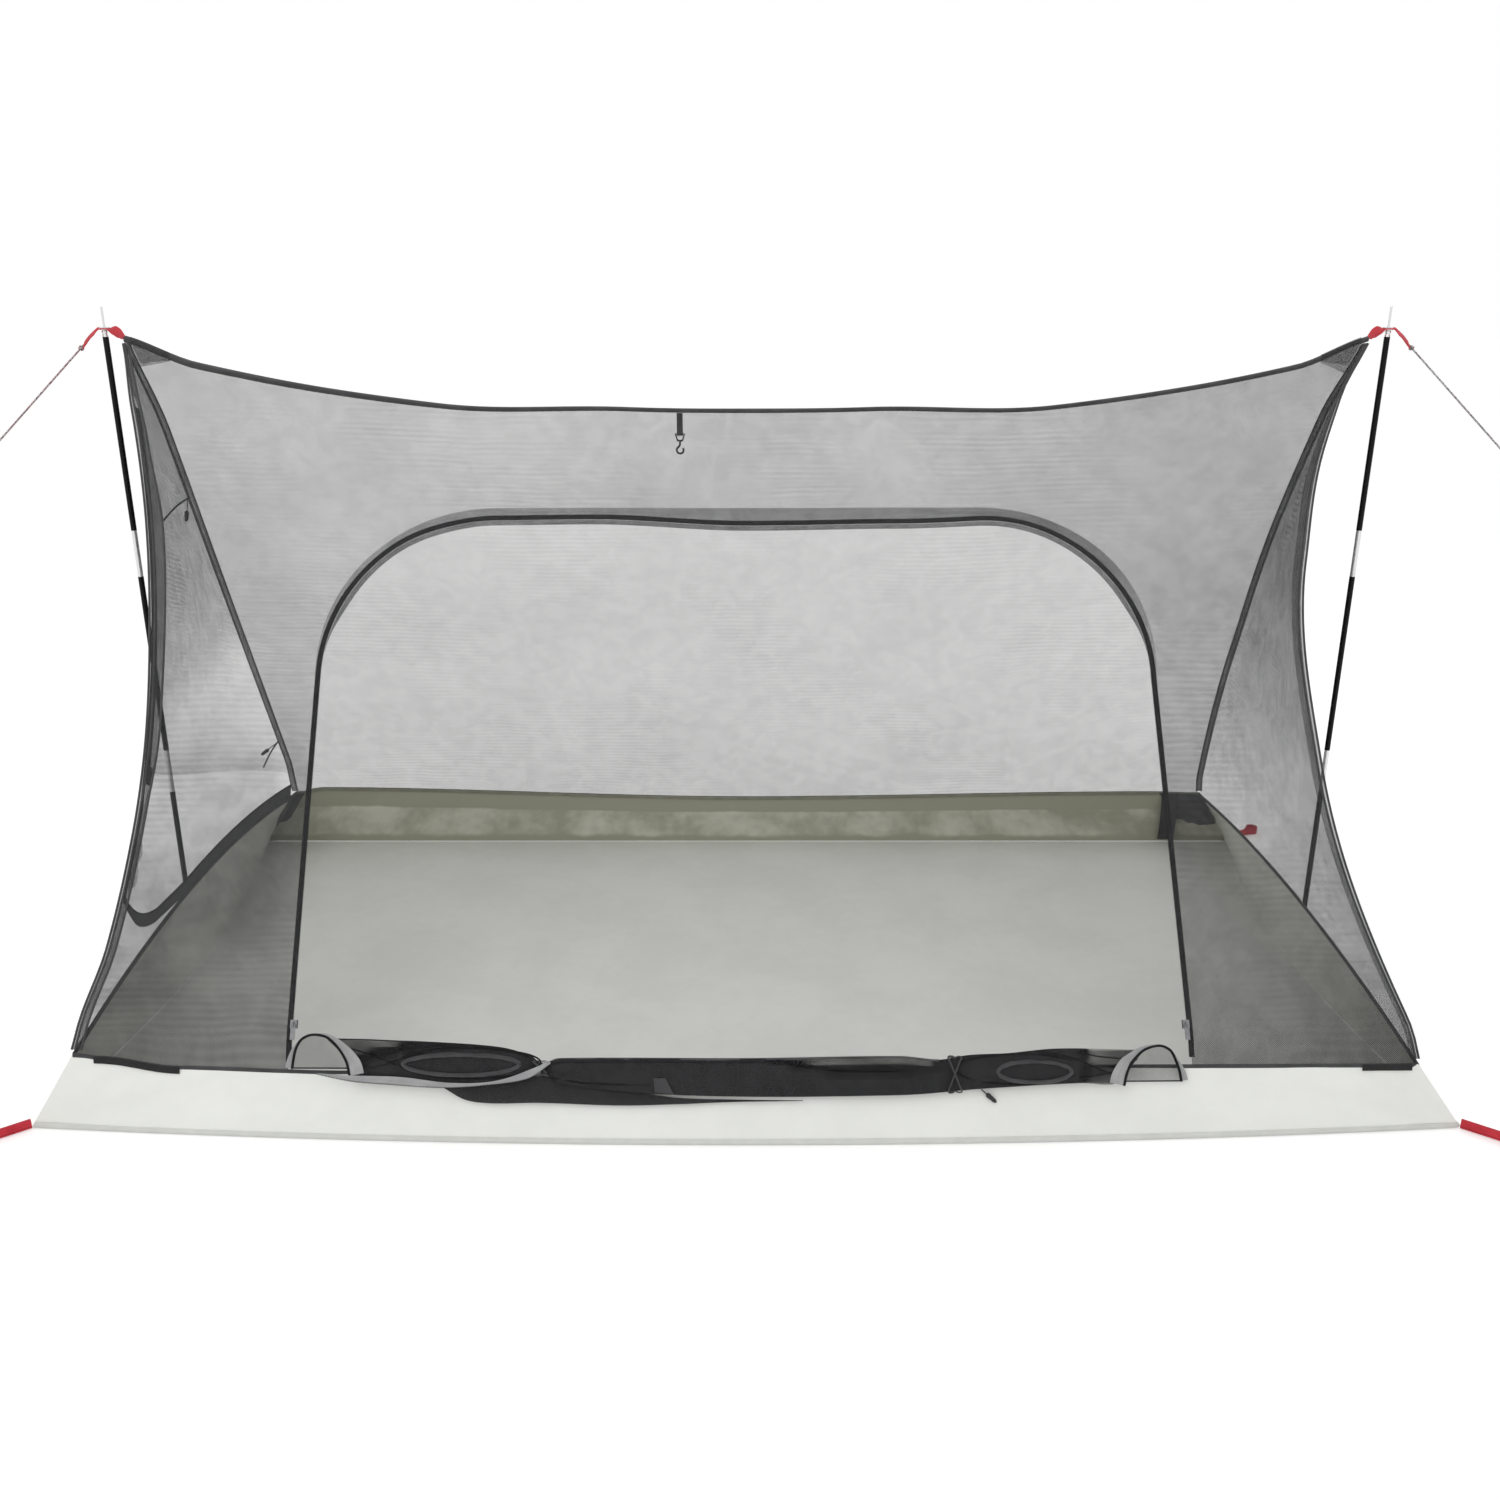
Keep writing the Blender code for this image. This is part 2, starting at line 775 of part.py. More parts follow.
def make_right_mesh():
    columns = 12
    grid = []
    for column in spread(columns):
        line = []
        for row in spread(8):
            v = lerp(end_rim_v(RIGHT, column, RIM_INSET + END_GAP), END_TOP_SHARE, row)
            trim = end_inset(v, SEAM_INSET)
            line.append(end_point(RIGHT, lerp(trim, 1 - trim, column), v))
        grid.append(line)
    black_mesh(sheet("mesh_right", grid, MESH_THICKNESS))


def make_corner_seam(name, side, face):
    trim = SEAM_START / seam_length()
    path = [seam_point(side, face, lerp(trim, 1 - trim, t)) for t in spread(20)]
    black_tape(tube(name, path, SEAM_RADIUS))


def make_ridge_seam():
    reach = HALF_RIDGE - TOUCH
    path = []
    for t in spread(LONG_STEPS):
        x = lerp(-reach, reach, t)
        path.append(Vector((x, 0.0, ridge_height(x))))
    black_tape(tube("ridge_binding", path, SEAM_RADIUS))


def make_apex_patch(side, word):
    # A band of tape over the ridge, from the front panel to the back one.
    lift = MESH_THICKNESS / 2 + PATCH_GAP + PATCH_THICKNESS / 2
    wrap = SEAM_RADIUS + 2 * TOUCH + PATCH_THICKNESS / 2
    slope = slope_length(HALF_RIDGE - PATCH_LENGTH / 2)
    high = 1 - PATCH_TOP_SHARE * SEAM_RADIUS / slope
    low = high - PATCH_DROP / slope
    tilt = math.atan2(APEX_HEIGHT - WALL_HEIGHT, HALF_RIM_WIDTH)
    tilt += math.radians(PATCH_WRAP_ANGLE)
    front = []
    back = []
    for row in spread(4):
        v = lerp(low, high, row)
        width = lerp(PATCH_TIP, PATCH_LENGTH, row)
        for face, grid in ((FRONT, front), (BACK, back)):
            edge = abs(seam_x(side, face, v))
            edge -= PATCH_SIDE_SHARE * seam_inset(side, face, v)
            line = [side * (edge - width * t) for t in spread(4)]
            grid.append([side_lifted(face, x, v, lift) for x in line])
    over = []
    for t in spread(8):
        angle = lerp(-tilt, tilt, t)
        line = []
        for low_x, high_x in zip(front[-1], back[-1]):
            x = lerp(low_x.x, high_x.x, t)
            y = wrap * math.sin(angle)
            line.append(Vector((x, y, ridge_height(x) + wrap * math.cos(angle))))
        over.append(line)
    grid = front + over + back[::-1]
    black_tape(sheet(f"apex_patch_{word}", grid, PATCH_THICKNESS))


# Front door zip.


def make_door_zip():
    near = door_path(COIL_OFFSET)
    far = door_path(COIL_OFFSET + ZIP_TAPE_WIDTH)
    path = [door_place(*place) for place in near]
    acrosses = [(door_place(*b) - a).normalized() for a, b in zip(path, far)]
    outs = [side_normal(FRONT, x, s / slope_length(x)) for x, s in near]
    widths = [ZIP_TAPE_WIDTH] * len(path)
    grey_tape(zip_half("door_zip_half", path, acrosses, outs, widths))


def slider_frame(origin, along, out):
    along = along.normalized()
    across = along.cross(out).normalized()
    return origin, across, along, across.cross(along).normalized()


def bar(size, centre):
    bm = bmesh.new()
    bmesh.ops.create_cube(bm, size=1.0)
    bmesh.ops.scale(bm, vec=size, verts=bm.verts)
    bmesh.ops.translate(bm, vec=centre, verts=bm.verts)
    return bm


def bar_object(name, size, centre):
    return mesh_object(name, bar(size, centre))


def make_slider(name, frame):
    half_channel = SLIDER_CHANNEL / 2
    top = half_channel + SLIDER_PLATE
    wing = SLIDER_WIDTH / 2
    post = SLIDER_POST / 2
    outline = [
        (-wing, half_channel),
        (-post, half_channel),
        (-post, -half_channel),
        (-wing, -half_channel),
        (-wing, -top),
        (wing, -top),
        (wing, -half_channel),
        (post, -half_channel),
        (post, half_channel),
        (wing, half_channel),
        (wing, top),
        (-wing, top),
    ]
    body = extruded(name, outline, SLIDER_LENGTH)
    body.data.transform(Matrix.Rotation(math.radians(90), 4, "X"))
    body.data.transform(Matrix.Translation((0, SLIDER_LENGTH / 2, 0)))
    span = BRIDGE_INSIDE_LENGTH + 2 * BRIDGE_THICKNESS
    height = BRIDGE_INSIDE_HEIGHT + BRIDGE_THICKNESS
    arch = bar_object(
        f"{name}_bridge",
        (BRIDGE_WIDTH, span, height + SLIDER_PLATE / 2),
        (0, 0, top + height / 2 - SLIDER_PLATE / 4),
    )
    hollow = bar_object(
        f"{name}_hollow",
        (BRIDGE_WIDTH * 2, BRIDGE_INSIDE_LENGTH, BRIDGE_INSIDE_HEIGHT),
        (0, 0, top + BRIDGE_INSIDE_HEIGHT / 2),
    )
    for obj in (body, arch, hollow):
        stand(obj, *frame)
    combine(body, arch, "UNION")
    combine(body, hollow, "DIFFERENCE")
    return bright_steel(body)


def pull_pivot(frame):
    origin, _, _, out = frame
    rise = SLIDER_CHANNEL / 2 + SLIDER_PLATE + BRIDGE_INSIDE_HEIGHT / 2
    return origin + out * rise


def make_pull(name, frame):
    _, across, along, out = frame
    centre = -(PULL_LENGTH / 2 - PULL_BAR / 2)
    plate = bar_object(name, (PULL_WIDTH, PULL_LENGTH, PULL_THICKNESS), (0, centre, 0))
    hole_centre = -(PULL_BAR / 2 + PULL_HOLE_LENGTH / 2)
    hole = bar_object(
        f"{name}_hole",
        (PULL_HOLE_WIDTH, PULL_HOLE_LENGTH, PULL_THICKNESS * 3),
        (0, hole_centre, 0),
    )
    for obj in (plate, hole):
        stand(obj, pull_pivot(frame), across, along, out)
    combine(plate, hole, "DIFFERENCE")
    return bright_steel(plate)


def door_slider_frame(side):
    leg = door_path(0.0)
    if side == LEFT:
        low = door_place(*leg[0])
        high = door_place(*leg[SHORT_STEPS])
        sill_x = -DOOR_LEFT_SILL
    else:
        low = door_place(*leg[-1])
        high = door_place(*leg[-1 - SHORT_STEPS])
        sill_x = DOOR_RIGHT_SILL
    along = (high - low).normalized()
    origin = low + along * SLIDER_HEIGHT
    out = side_normal(FRONT, sill_x, SLIDER_HEIGHT / slope_length(sill_x))
    return slider_frame(origin, along, out)


def make_door_sliders():
    for side, word in ((LEFT, "left"), (RIGHT, "right")):
        frame = door_slider_frame(side)
        make_slider(f"door_slider_{word}", frame)
        make_pull(f"door_pull_{word}", frame)


# Opened front door, folded over the sill.


def roll_share(x):
    return bump(x, LEFT_ROLL, ROLL_LENGTH) + bump(x, RIGHT_ROLL, ROLL_LENGTH)


def tie_share(x):
    return bump(x, LEFT_TIE, TIE_LENGTH) + bump(x, RIGHT_TIE, TIE_LENGTH)


def arch_reach(x):
    middle = LEFT_ARCH if x < 0 else RIGHT_ARCH
    share = (x - middle) / (ARCH_WIDTH / 2)
    return ARCH_HEIGHT * math.sqrt(max(0.0, 1 - share * share))


def fold_section(x):
    # Middle height, half the height and half the depth of the folded door.
    # Its two ends are single flat corners of mesh that stand up in an arch.
    roll = roll_share(x)
    pinch = 1 - TIE_PINCH_SHARE * tie_share(x)
    start = (x - LEFT_ARCH - ARCH_WIDTH / 2) / FOLD_START
    end = (RIGHT_ARCH - ARCH_WIDTH / 2 - x) / FOLD_START
    share = smooth(start) * smooth(end)
    centre = FOLD_CENTRE_HEIGHT + ROLL_LIFT * roll + TIE_LIFT * tie_share(x)
    top = ARCH_BASE + arch_reach(x) * ARCH_FILL_SHARE
    low = ARCH_BASE - ARCH_SKIRT
    centre = lerp((top + low) / 2, centre, share)
    half_height = lerp((top - low) / 2, FOLD_HALF_HEIGHT * pinch, share)
    deep = FOLD_HALF_DEPTH * (1 + ROLL_FULLNESS * roll) * pinch
    return centre, half_height, lerp(MESH_THICKNESS / 2, deep, share)


def fold_point(x, angle, grow=0.0):
    centre, half_height, half_depth = fold_section(x)
    z = centre + (half_height + grow) * math.sin(angle)
    depth = half_depth * (1 + math.cos(angle)) + grow * math.cos(angle)
    if grow == 0:
        outer = max(0.0, math.cos(angle)) * (1 - tie_share(x))
        fine = math.sin(FINE_CREASE_TURNS * angle + FINE_CREASE_TWIST * x)
        wide = math.sin(WIDE_CREASE_TURNS * angle + WIDE_CREASE_TWIST * x)
        creases = fine * FINE_CREASE_DEPTH + wide * WIDE_CREASE_DEPTH
        depth += half_depth * creases * outer
    return Vector((x, wall_outside(x, z) - FOLD_CLEARANCE - depth, z))


def loft(name, bodies):
    bm = bmesh.new()
    for sections in bodies:
        rings = [[bm.verts.new(point) for point in ring] for ring in sections]
        count = len(rings[0])
        for a, b in zip(rings, rings[1:]):
            for i in range(count):
                j = (i + 1) % count
                bm.faces.new((a[i], a[j], b[j], b[i]))
        bm.faces.new(rings[0])
        bm.faces.new(list(reversed(rings[-1])))
    bmesh.ops.recalc_face_normals(bm, faces=bm.faces)
    return mesh_object(name, bm)


def make_folded_door():
    around = 18
    half = ARCH_WIDTH / 2
    stops = [
        (LEFT_ARCH - half + ARCH_INSET, LEFT_ARCH + half, ARCH_STEPS),
        (LEFT_ARCH + half, RIGHT_ARCH - half, FOLD_STEPS),
        (RIGHT_ARCH - half, RIGHT_ARCH + half - ARCH_INSET, ARCH_STEPS),
    ]
    places = [stops[0][0]]
    for start, end, steps in stops:
        places += [lerp(start, end, t) for t in spread(steps)[1:]]
    angles = [math.tau * i / around for i in range(around)]
    sections = [[fold_point(x, angle) for angle in angles] for x in places]
    black_mesh(loft("door_panel_folded", [sections]))


def edge_line():
    # The free zip half: up round the left arch, along the front of the
    # bundle and round the right arch. Gives places and directions.
    places = []
    for middle in (LEFT_ARCH, RIGHT_ARCH):
        for s in spread(SHORT_STEPS):
            angle = math.pi * (1 - s)
            reach = Vector((math.cos(angle), 0, math.sin(angle)))
            x = middle + ARCH_WIDTH / 2 * reach.x
            place = Vector((x, 0, ARCH_BASE + ARCH_HEIGHT * reach.z))
            places.append((place, Vector((-reach.x, 0, -reach.z)).normalized()))
        if middle == LEFT_ARCH:
            for t in spread(EDGE_STEPS)[1:-1]:
                x = lerp(LEFT_ARCH + ARCH_WIDTH / 2, RIGHT_ARCH - ARCH_WIDTH / 2, t)
                share = smooth(min(t, 1 - t) / EDGE_JOIN_SHARE)
                drop = EDGE_DROP - EDGE_LIFT * tie_share(x)
                z = lerp(ARCH_BASE, fold_section(x)[0] - drop, share)
                side = Vector((lerp(-1 if t < 0.5 else 1, 0, share), 0, -share))
                places.append((Vector((x, 0, z)), side.normalized()))
    return places


def fold_depth(x, low, high):
    # How deep the folded door is at its fullest between two heights.
    centre, half_height, half_depth = fold_section(x)
    z = min(high, max(low, centre))
    share = min(1.0, abs(z - centre) / half_height)
    return half_depth * (1 + CREASE_REACH * math.sqrt(1 - share * share))


def make_door_edge():
    path = []
    acrosses = []
    outs = []
    widths = []
    for place, across in edge_line():
        x, z = place.x, place.z
        inner = place + across * ARCH_TAPE_WIDTH
        low, high = sorted((z, inner.z))
        depth = FOLD_CLEARANCE + fold_depth(x, low, high) + COIL_RADIUS + EDGE_GAP
        place.y = wall_outside(x, z) - depth
        inner.y = place.y
        inner.y += wall_outside(x, inner.z) - wall_outside(x, z)
        across = (inner - place).normalized()
        out = Vector((0, -1, 0))
        outs.append((out - across * out.dot(across)).normalized())
        path.append(place)
        acrosses.append(across)
        widths.append(ARCH_TAPE_WIDTH)
    grey_tape(zip_half("door_edge_half", path, acrosses, outs, widths))


def make_door_tie(word, place):
    ring = []
    for t in spread(LONG_STEPS)[:-1]:
        angle = math.tau * t
        point = fold_point(place, angle, TIE_RADIUS + TIE_SLACK)
        point.y -= TIE_FRONT * min(1.0, max(0.0, TIE_FRONT_SHARE * math.cos(angle)))
        ring.append(point)
    grey_tape(tube(f"door_tie_{word}", ring, TIE_RADIUS, closed=True))


# Left end: its door, its zip and the fixed corner of mesh.


def end_seam_place(v, inset):
    u = 1 - end_inset(v, inset)
    return end_point(LEFT, u, v)


def circle_through(a, b, c):
    ab = b - a
    ac = c - a
    axis = ab.cross(ac)
    to_centre = axis.cross(ab) * ac.length_squared + ac.cross(axis) * ab.length_squared
    centre = a + to_centre / (2 * axis.length_squared)
    return centre, axis.normalized(), (a - centre).length


def end_zip_circle():
    low = end_seam_place(END_ZIP_LOW_SHARE, END_ZIP_INSET)
    middle = end_seam_place((END_ZIP_LOW_SHARE + END_ZIP_TOP_SHARE) / 2, END_ZIP_INSET)
    high = end_seam_place(END_ZIP_TOP_SHARE, END_ZIP_INSET)
    centre, axis, radius = circle_through(low, middle, high)
    sweep = (low - centre).angle(high - centre)
    return centre, axis, radius, low, sweep


def end_zip_arc(t):
    centre, axis, _, low, sweep = end_zip_circle()
    turn = Matrix.Rotation(sweep * t, 4, axis)
    place = centre + turn @ (low - centre)
    along = axis.cross(place - centre).normalized()
    out = Vector((-1, 0, 0))
    across = along.cross(out).normalized()
    out = across.cross(along).normalized()
    return place, along, across, out


def end_zip_share(v):
    return (v - END_ZIP_LOW_SHARE) / (END_ZIP_TOP_SHARE - END_ZIP_LOW_SHARE)


def end_zip_side():
    # +1 where the across direction of end_zip_arc points to the door.
    place, _, across, _ = end_zip_arc(0.5)
    towards_back = end_point(LEFT, 0.5, 0.6) - place
    return 1 if across.dot(towards_back) > 0 else -1


def hem_height(u):
    return lerp(HEM_BACK_SHARE, HEM_FRONT_SHARE, u)


def end_door_place(column, v):
    # A point of the door, from its back edge (0) to the zip (1).
    tape = COIL_OFFSET + COIL_RADIUS + SEAM_GAP + END_TAPE_WIDTH
    back = end_inset(v, SEAM_INSET)
    front = 1 - end_inset(v, END_ZIP_INSET + tape + END_DOOR_GAP)
    return end_point(LEFT, lerp(back, front, column), v)


def make_end_door():
    rows = 12
    grid = []
    for column in spread(10):
        low = hem_height(column)
        line = [lerp(low, END_DOOR_TOP_SHARE, row) for row in spread(rows)]
        grid.append([end_door_place(column, v) for v in line])
    black_mesh(sheet("end_door_mesh", grid, MESH_THICKNESS))


def arc_frames(offset, start, steps):
    # Places, directions across and directions out, up the front seam.
    path = []
    acrosses = []
    outs = []
    for t in spread(steps):
        place, _, across, out = end_zip_arc(lerp(start, 1, t))
        path.append(place + across * offset)
        acrosses.append(across)
        outs.append(out)
    return path, acrosses, outs


def make_end_door_edge():
    sign = end_zip_side()
    start = end_zip_share(HEM_FRONT_SHARE - END_DOOR_TAIL_SHARE)
    path, acrosses, outs = arc_frames(sign * COIL_OFFSET, start, 16)
    acrosses = [across * sign for across in acrosses]
    widths = [END_TAPE_WIDTH] * len(path)
    black_tape(zip_half("end_door_half", path, acrosses, outs, widths))


def hook_path(steps):
    # Along the rim from the back corner, then up to the front seam.
    path = []
    rise = RIM_INSET + END_BAND_WIDTH + COIL_RADIUS + END_GAP
    for t in spread(steps)[:-1]:
        u = lerp(HOOK_BACK_SHARE, HOOK_START_SHARE, t)
        path.append((u, end_rim_v(LEFT, u, rise)))
    bead = END_ZIP_INSET + COIL_OFFSET
    rim_v = end_rim_v(LEFT, HOOK_START_SHARE, rise)
    seam_u = 1 - end_inset(HOOK_JOIN_SHARE, bead)
    for t in spread(steps):
        angle = math.pi / 2 * t
        u = lerp(HOOK_START_SHARE, seam_u, math.sin(angle))
        v = lerp(rim_v, HOOK_JOIN_SHARE, 1 - math.cos(angle))
        path.append((u, v))
    for t in spread(4)[1:-1]:
        v = lerp(HOOK_JOIN_SHARE, END_ZIP_LOW_SHARE, t)
        path.append((1 - end_inset(v, bead), v))
    return path


def make_end_zip():
    steps = 10
    places = hook_path(steps)
    hook = [end_point(LEFT, u, v) for u, v in places]
    hook_outs = [end_normal(LEFT, u, v) for u, v in places]
    sign = end_zip_side()
    leg, _, leg_outs = arc_frames(-sign * COIL_OFFSET, 0, 18)
    path = hook + leg
    outs = hook_outs + leg_outs
    narrow = END_ZIP_INSET - SEAM_INSET - COIL_OFFSET - COIL_RADIUS - SEAM_GAP
    acrosses = []
    widths = []
    for i, out in enumerate(outs):
        before = path[max(0, i - 1)]
        after = path[min(len(path) - 1, i + 1)]
        across = (after - before).normalized().cross(out).normalized()
        centre = end_point(LEFT, 0.5, 0.5)
        if across.dot(centre - path[i]) > 0:
            across = -across
        acrosses.append(across)
        share = smooth((i - steps) / steps)
        widths.append(lerp(END_BAND_WIDTH, narrow, share))
    black_tape(zip_half("end_zip_half", path, acrosses, outs, widths))


def end_slider_frame():
    # Its pull is on the inside of the tent, so the frame faces inwards.
    place, along, across, out = end_zip_arc(end_zip_share(HEM_FRONT_SHARE))
    return place, -across, along, -out


def make_end_slider():
    frame = end_slider_frame()
    slider = make_slider("end_zip_slider", frame)
    hang_from(end_zip_circle()[0], "end_zip_centre", [slider])
    make_pull("end_zip_pull", frame)


def gather_path():
    # From the hem beside the zip, down and back towards the doorway.
    top = end_door_place(GATHER_PLACE_SHARE, hem_height(GATHER_PLACE_SHARE))
    beside = GATHER_PLACE_SHARE - 0.01
    along = (end_door_place(beside, hem_height(beside)) - top).normalized()
    down = along.cross(end_normal(LEFT, GATHER_PLACE_SHARE, hem_height(GATHER_PLACE_SHARE)))
    if down.z > 0:
        down = -down
    start = top + down * (MESH_THICKNESS / 2 - TOUCH)
    path = []
    for t in spread(14):
        sway = Vector((0, GATHER_SWAY * t * t, 0))
        path.append(start + down * (GATHER_LENGTH * t) + sway)
    return path, down


def make_end_gather():
    path, down = gather_path()
    side = Vector((1, 0, 0))
    sections = []
    for i, place in enumerate(path):
        t = i / (len(path) - 1)
        ahead = (path[min(i + 1, len(path) - 1)] - path[max(i - 1, 0)]).normalized()
        if i == 0:
            ahead = down
        first = (side - ahead * side.dot(ahead)).normalized()
        second = ahead.cross(first)
        full = GATHER_RADIUS * lerp(GATHER_TOP_SHARE, 1.0, smooth(t / GATHER_FULL_PLACE))
        full *= lerp(1.0, GATHER_LUMP, bump(t, GATHER_LUMP_PLACE, GATHER_LUMP_WIDTH))
        tip = smooth((t - GATHER_TIP_PLACE) / (1 - GATHER_TIP_PLACE))
        full *= lerp(1.0, GATHER_TIP_SHARE, tip)
        ring = []
        for k in range(ROUND_SIDES):
            angle = math.tau * k / ROUND_SIDES
            folds = math.cos(GATHER_FOLDS * angle + GATHER_FOLD_TWIST * t)
            radius = full * (1 + GATHER_FOLD_DEPTH * folds)
            reach = first * math.cos(angle) + second * math.sin(angle)
            ring.append(place + reach * radius)
        sections.append(ring)
    black_mesh(loft("end_door_gathered", [sections]))


# Poles.


def pole_levels():
    foot = FOOT_FLOOR
    lower_top = foot + TUBE_LENGTH
    middle_low = lower_top + SLEEVE_LENGTH
    middle_top = middle_low + TUBE_LENGTH
    upper_low = middle_top + SLEEVE_LENGTH
    upper_top = upper_low + TUBE_LENGTH
    return foot, lower_top, middle_low, middle_top, upper_low, upper_top


def pole_pivot(x):
    return Vector((x, 0.0, pole_levels()[-1] + PIVOT_ABOVE_TUBE))


def pole_piece(name, x, profile):
    # Profiles give world heights; the piece's origin is on the pole's pivot.
    pivot = pole_pivot(x)
    below = [(radius, height - pivot.z) for radius, height in profile]
    return turned(name, below, pivot)


def make_tube(name, x, low, high):
    profile = [
        (POLE_BORE, low),
        (POLE_RADIUS, low),
        (POLE_RADIUS, high),
        (POLE_BORE, high),
    ]
    black_paint(pole_piece(name, x, profile))


def make_sleeve(name, x, low, high):
    plug = POLE_BORE - POLE_FIT
    profile = [
        (SLEEVE_BORE, low - NECK_LENGTH),
        (plug, low - NECK_LENGTH),
        (plug, low + TOUCH),
        (SLEEVE_RADIUS, low + TOUCH),
        (SLEEVE_RADIUS, high - TOUCH),
        (plug, high - TOUCH),
        (plug, high + SPIGOT_LENGTH - SPIGOT_TAPER),
        (plug * SPIGOT_TIP, high + SPIGOT_LENGTH),
        (SLEEVE_BORE, high + SPIGOT_LENGTH),
    ]
    bright_steel(pole_piece(name, x, profile))


def make_tip(name, x):
    top = pole_levels()[-1]
    pivot = pole_pivot(x).z
    low = top - TIP_PLUG_LENGTH
    plug = POLE_BORE - POLE_FIT
    profile = [(0.0, low), (plug, low), (plug, top + TOUCH), (POLE_RADIUS, top + TOUCH)]
    end_angle = math.acos(SPIKE_RADIUS / DOME_RADIUS)
    for t in spread(7):
        angle = lerp(-DOME_START, end_angle, t)
        radius = DOME_RADIUS * math.cos(angle)
        profile.append((radius, pivot + DOME_RADIUS * math.sin(angle)))
    profile += [
        (SPIKE_RADIUS, pivot + SPIKE_LENGTH - SPIKE_RADIUS * SPIKE_TAPER_LENGTH),
        (SPIKE_RADIUS * SPIKE_TAPER_SHARE, pivot + SPIKE_LENGTH),
        (0.0, pivot + SPIKE_LENGTH),
    ]
    bright_steel(pole_piece(name, x, profile))


def make_foot(name, x):
    floor = FOOT_FLOOR - TOUCH
    bore = POLE_RADIUS + TOUCH
    top = FOOT_FLOOR + FOOT_HEIGHT
    profile = [
        (0.0, 0.0),
        (FOOT_RADIUS * FOOT_TOE_SHARE, 0.0),
        (FOOT_RADIUS, FOOT_RADIUS * FOOT_TOE_HEIGHT),
        (FOOT_RADIUS * FOOT_TOP_SHARE, top),
        (bore, top),
        (bore, floor),
        (0.0, floor),
    ]
    hard_plastic(pole_piece(name, x, profile))


def make_shock_cord(name, x):
    low = FOOT_FLOOR + TOUCH
    high = pole_levels()[-1] - TIP_PLUG_LENGTH - TOUCH
    path = [Vector((x, 0, lerp(low, high, t))) for t in spread(8)]
    cord = tube_mesh(name, path, SHOCK_CORD_RADIUS, 2)
    flecked_cord(move_origin(cord, pole_pivot(x)))


def make_pole(side, word):
    x = side * POLE_X
    foot, lower_top, middle_low, middle_top, upper_low, upper_top = pole_levels()
    make_foot(f"pole_foot_{word}", x)
    make_tube(f"pole_lower_{word}", x, foot, lower_top)
    make_sleeve(f"pole_lower_sleeve_{word}", x, lower_top, middle_low)
    make_tube(f"pole_middle_{word}", x, middle_low, middle_top)
    make_sleeve(f"pole_upper_sleeve_{word}", x, middle_top, upper_low)
    make_tube(f"pole_upper_{word}", x, upper_low, upper_top)
    make_tip(f"pole_tip_{word}", x)
    make_shock_cord(f"shock_cord_{word}", x)


# Webbing, eyelets and guylines.


def webbing_height():
    # The eyelet's rim rests on the round shoulder of the pole's tip.
    seat = math.sqrt((DOME_RADIUS + TOUCH) ** 2 - EYELET_BORE**2)
    return pole_pivot(0.0).z + seat + EYELET_THICKNESS + WEBBING_THICKNESS / 2


def arched(a, b, t, rise):
    return a.lerp(b, t) + Vector((0, 0, rise * math.sin(math.pi * t)))


def apex_webbing_path(side):
    top = webbing_height()
    root = Vector((side * (HALF_RIDGE + WEBBING_THICKNESS / 2), 0, APEX_HEIGHT + TOUCH))
    flat = EYELET_FLANGE + WEBBING_THICKNESS / 2
    near = Vector((side * (POLE_X - flat), 0, top))
    far = Vector((side * (POLE_X + flat), 0, top))
    end = Vector((side * (POLE_X + WEBBING_REACH), 0, top - WEBBING_DROP))
    path = [arched(root, near, t, WEBBING_CROWN) for t in spread(5)]
    path += [near.lerp(far, t) for t in spread(4)[1:]]
    path += [arched(far, end, t, WEBBING_SWAY) for t in spread(5)[1:]]
    return path


def make_apex_webbing(side, word):
    path = apex_webbing_path(side)
    grid = band(path, [Vector((0, 1, 0))] * len(path), [APEX_WEBBING_WIDTH] * len(path))
    strap = sheet(f"apex_webbing_{word}", grid, WEBBING_THICKNESS)
    bore = EYELET_BORE + EYELET_WALL + TOUCH
    reach = 4 * WEBBING_THICKNESS
    profile = [(0.0, -reach), (bore, -reach), (bore, reach), (0.0, reach)]
    place = (side * POLE_X, 0, webbing_height())
    hole = turned(f"apex_webbing_{word}_hole", profile, place)
    combine(strap, hole, "DIFFERENCE")
    red_webbing(strap)


def make_eyelet(side, word):
    half = WEBBING_THICKNESS / 2 + TOUCH / 2
    outer = half + EYELET_THICKNESS - TOUCH / 2
    barrel = EYELET_BORE + EYELET_WALL
    profile = [
        (EYELET_BORE, -outer),
        (EYELET_FLANGE, -outer),
        (EYELET_FLANGE, -half),
        (barrel, -half),
        (barrel, half),
        (EYELET_FLANGE, half),
        (EYELET_FLANGE, outer),
        (EYELET_BORE, outer),
    ]
    place = (side * POLE_X, 0, webbing_height())
    bright_steel(turned(f"apex_eyelet_{word}", profile, place))


def loop_outline():
    # A strap folded into a narrow loop with a round eye at its far end.
    centre = LOOP_LENGTH - LOOP_EYE
    side = LOOP_LAYER / 2
    neck = centre - LOOP_NECK_SHARE * LOOP_EYE
    points = [(0.0, -side), (neck * 0.5, -side), (neck, -side)]
    for t in spread(10):
        angle = math.radians(lerp(-LOOP_EYE_ANGLE, LOOP_EYE_ANGLE, t))
        points.append((centre + LOOP_EYE * math.cos(angle), LOOP_EYE * math.sin(angle)))
    points += [(neck, side), (neck * 0.5, side), (0.0, side)]
    return points


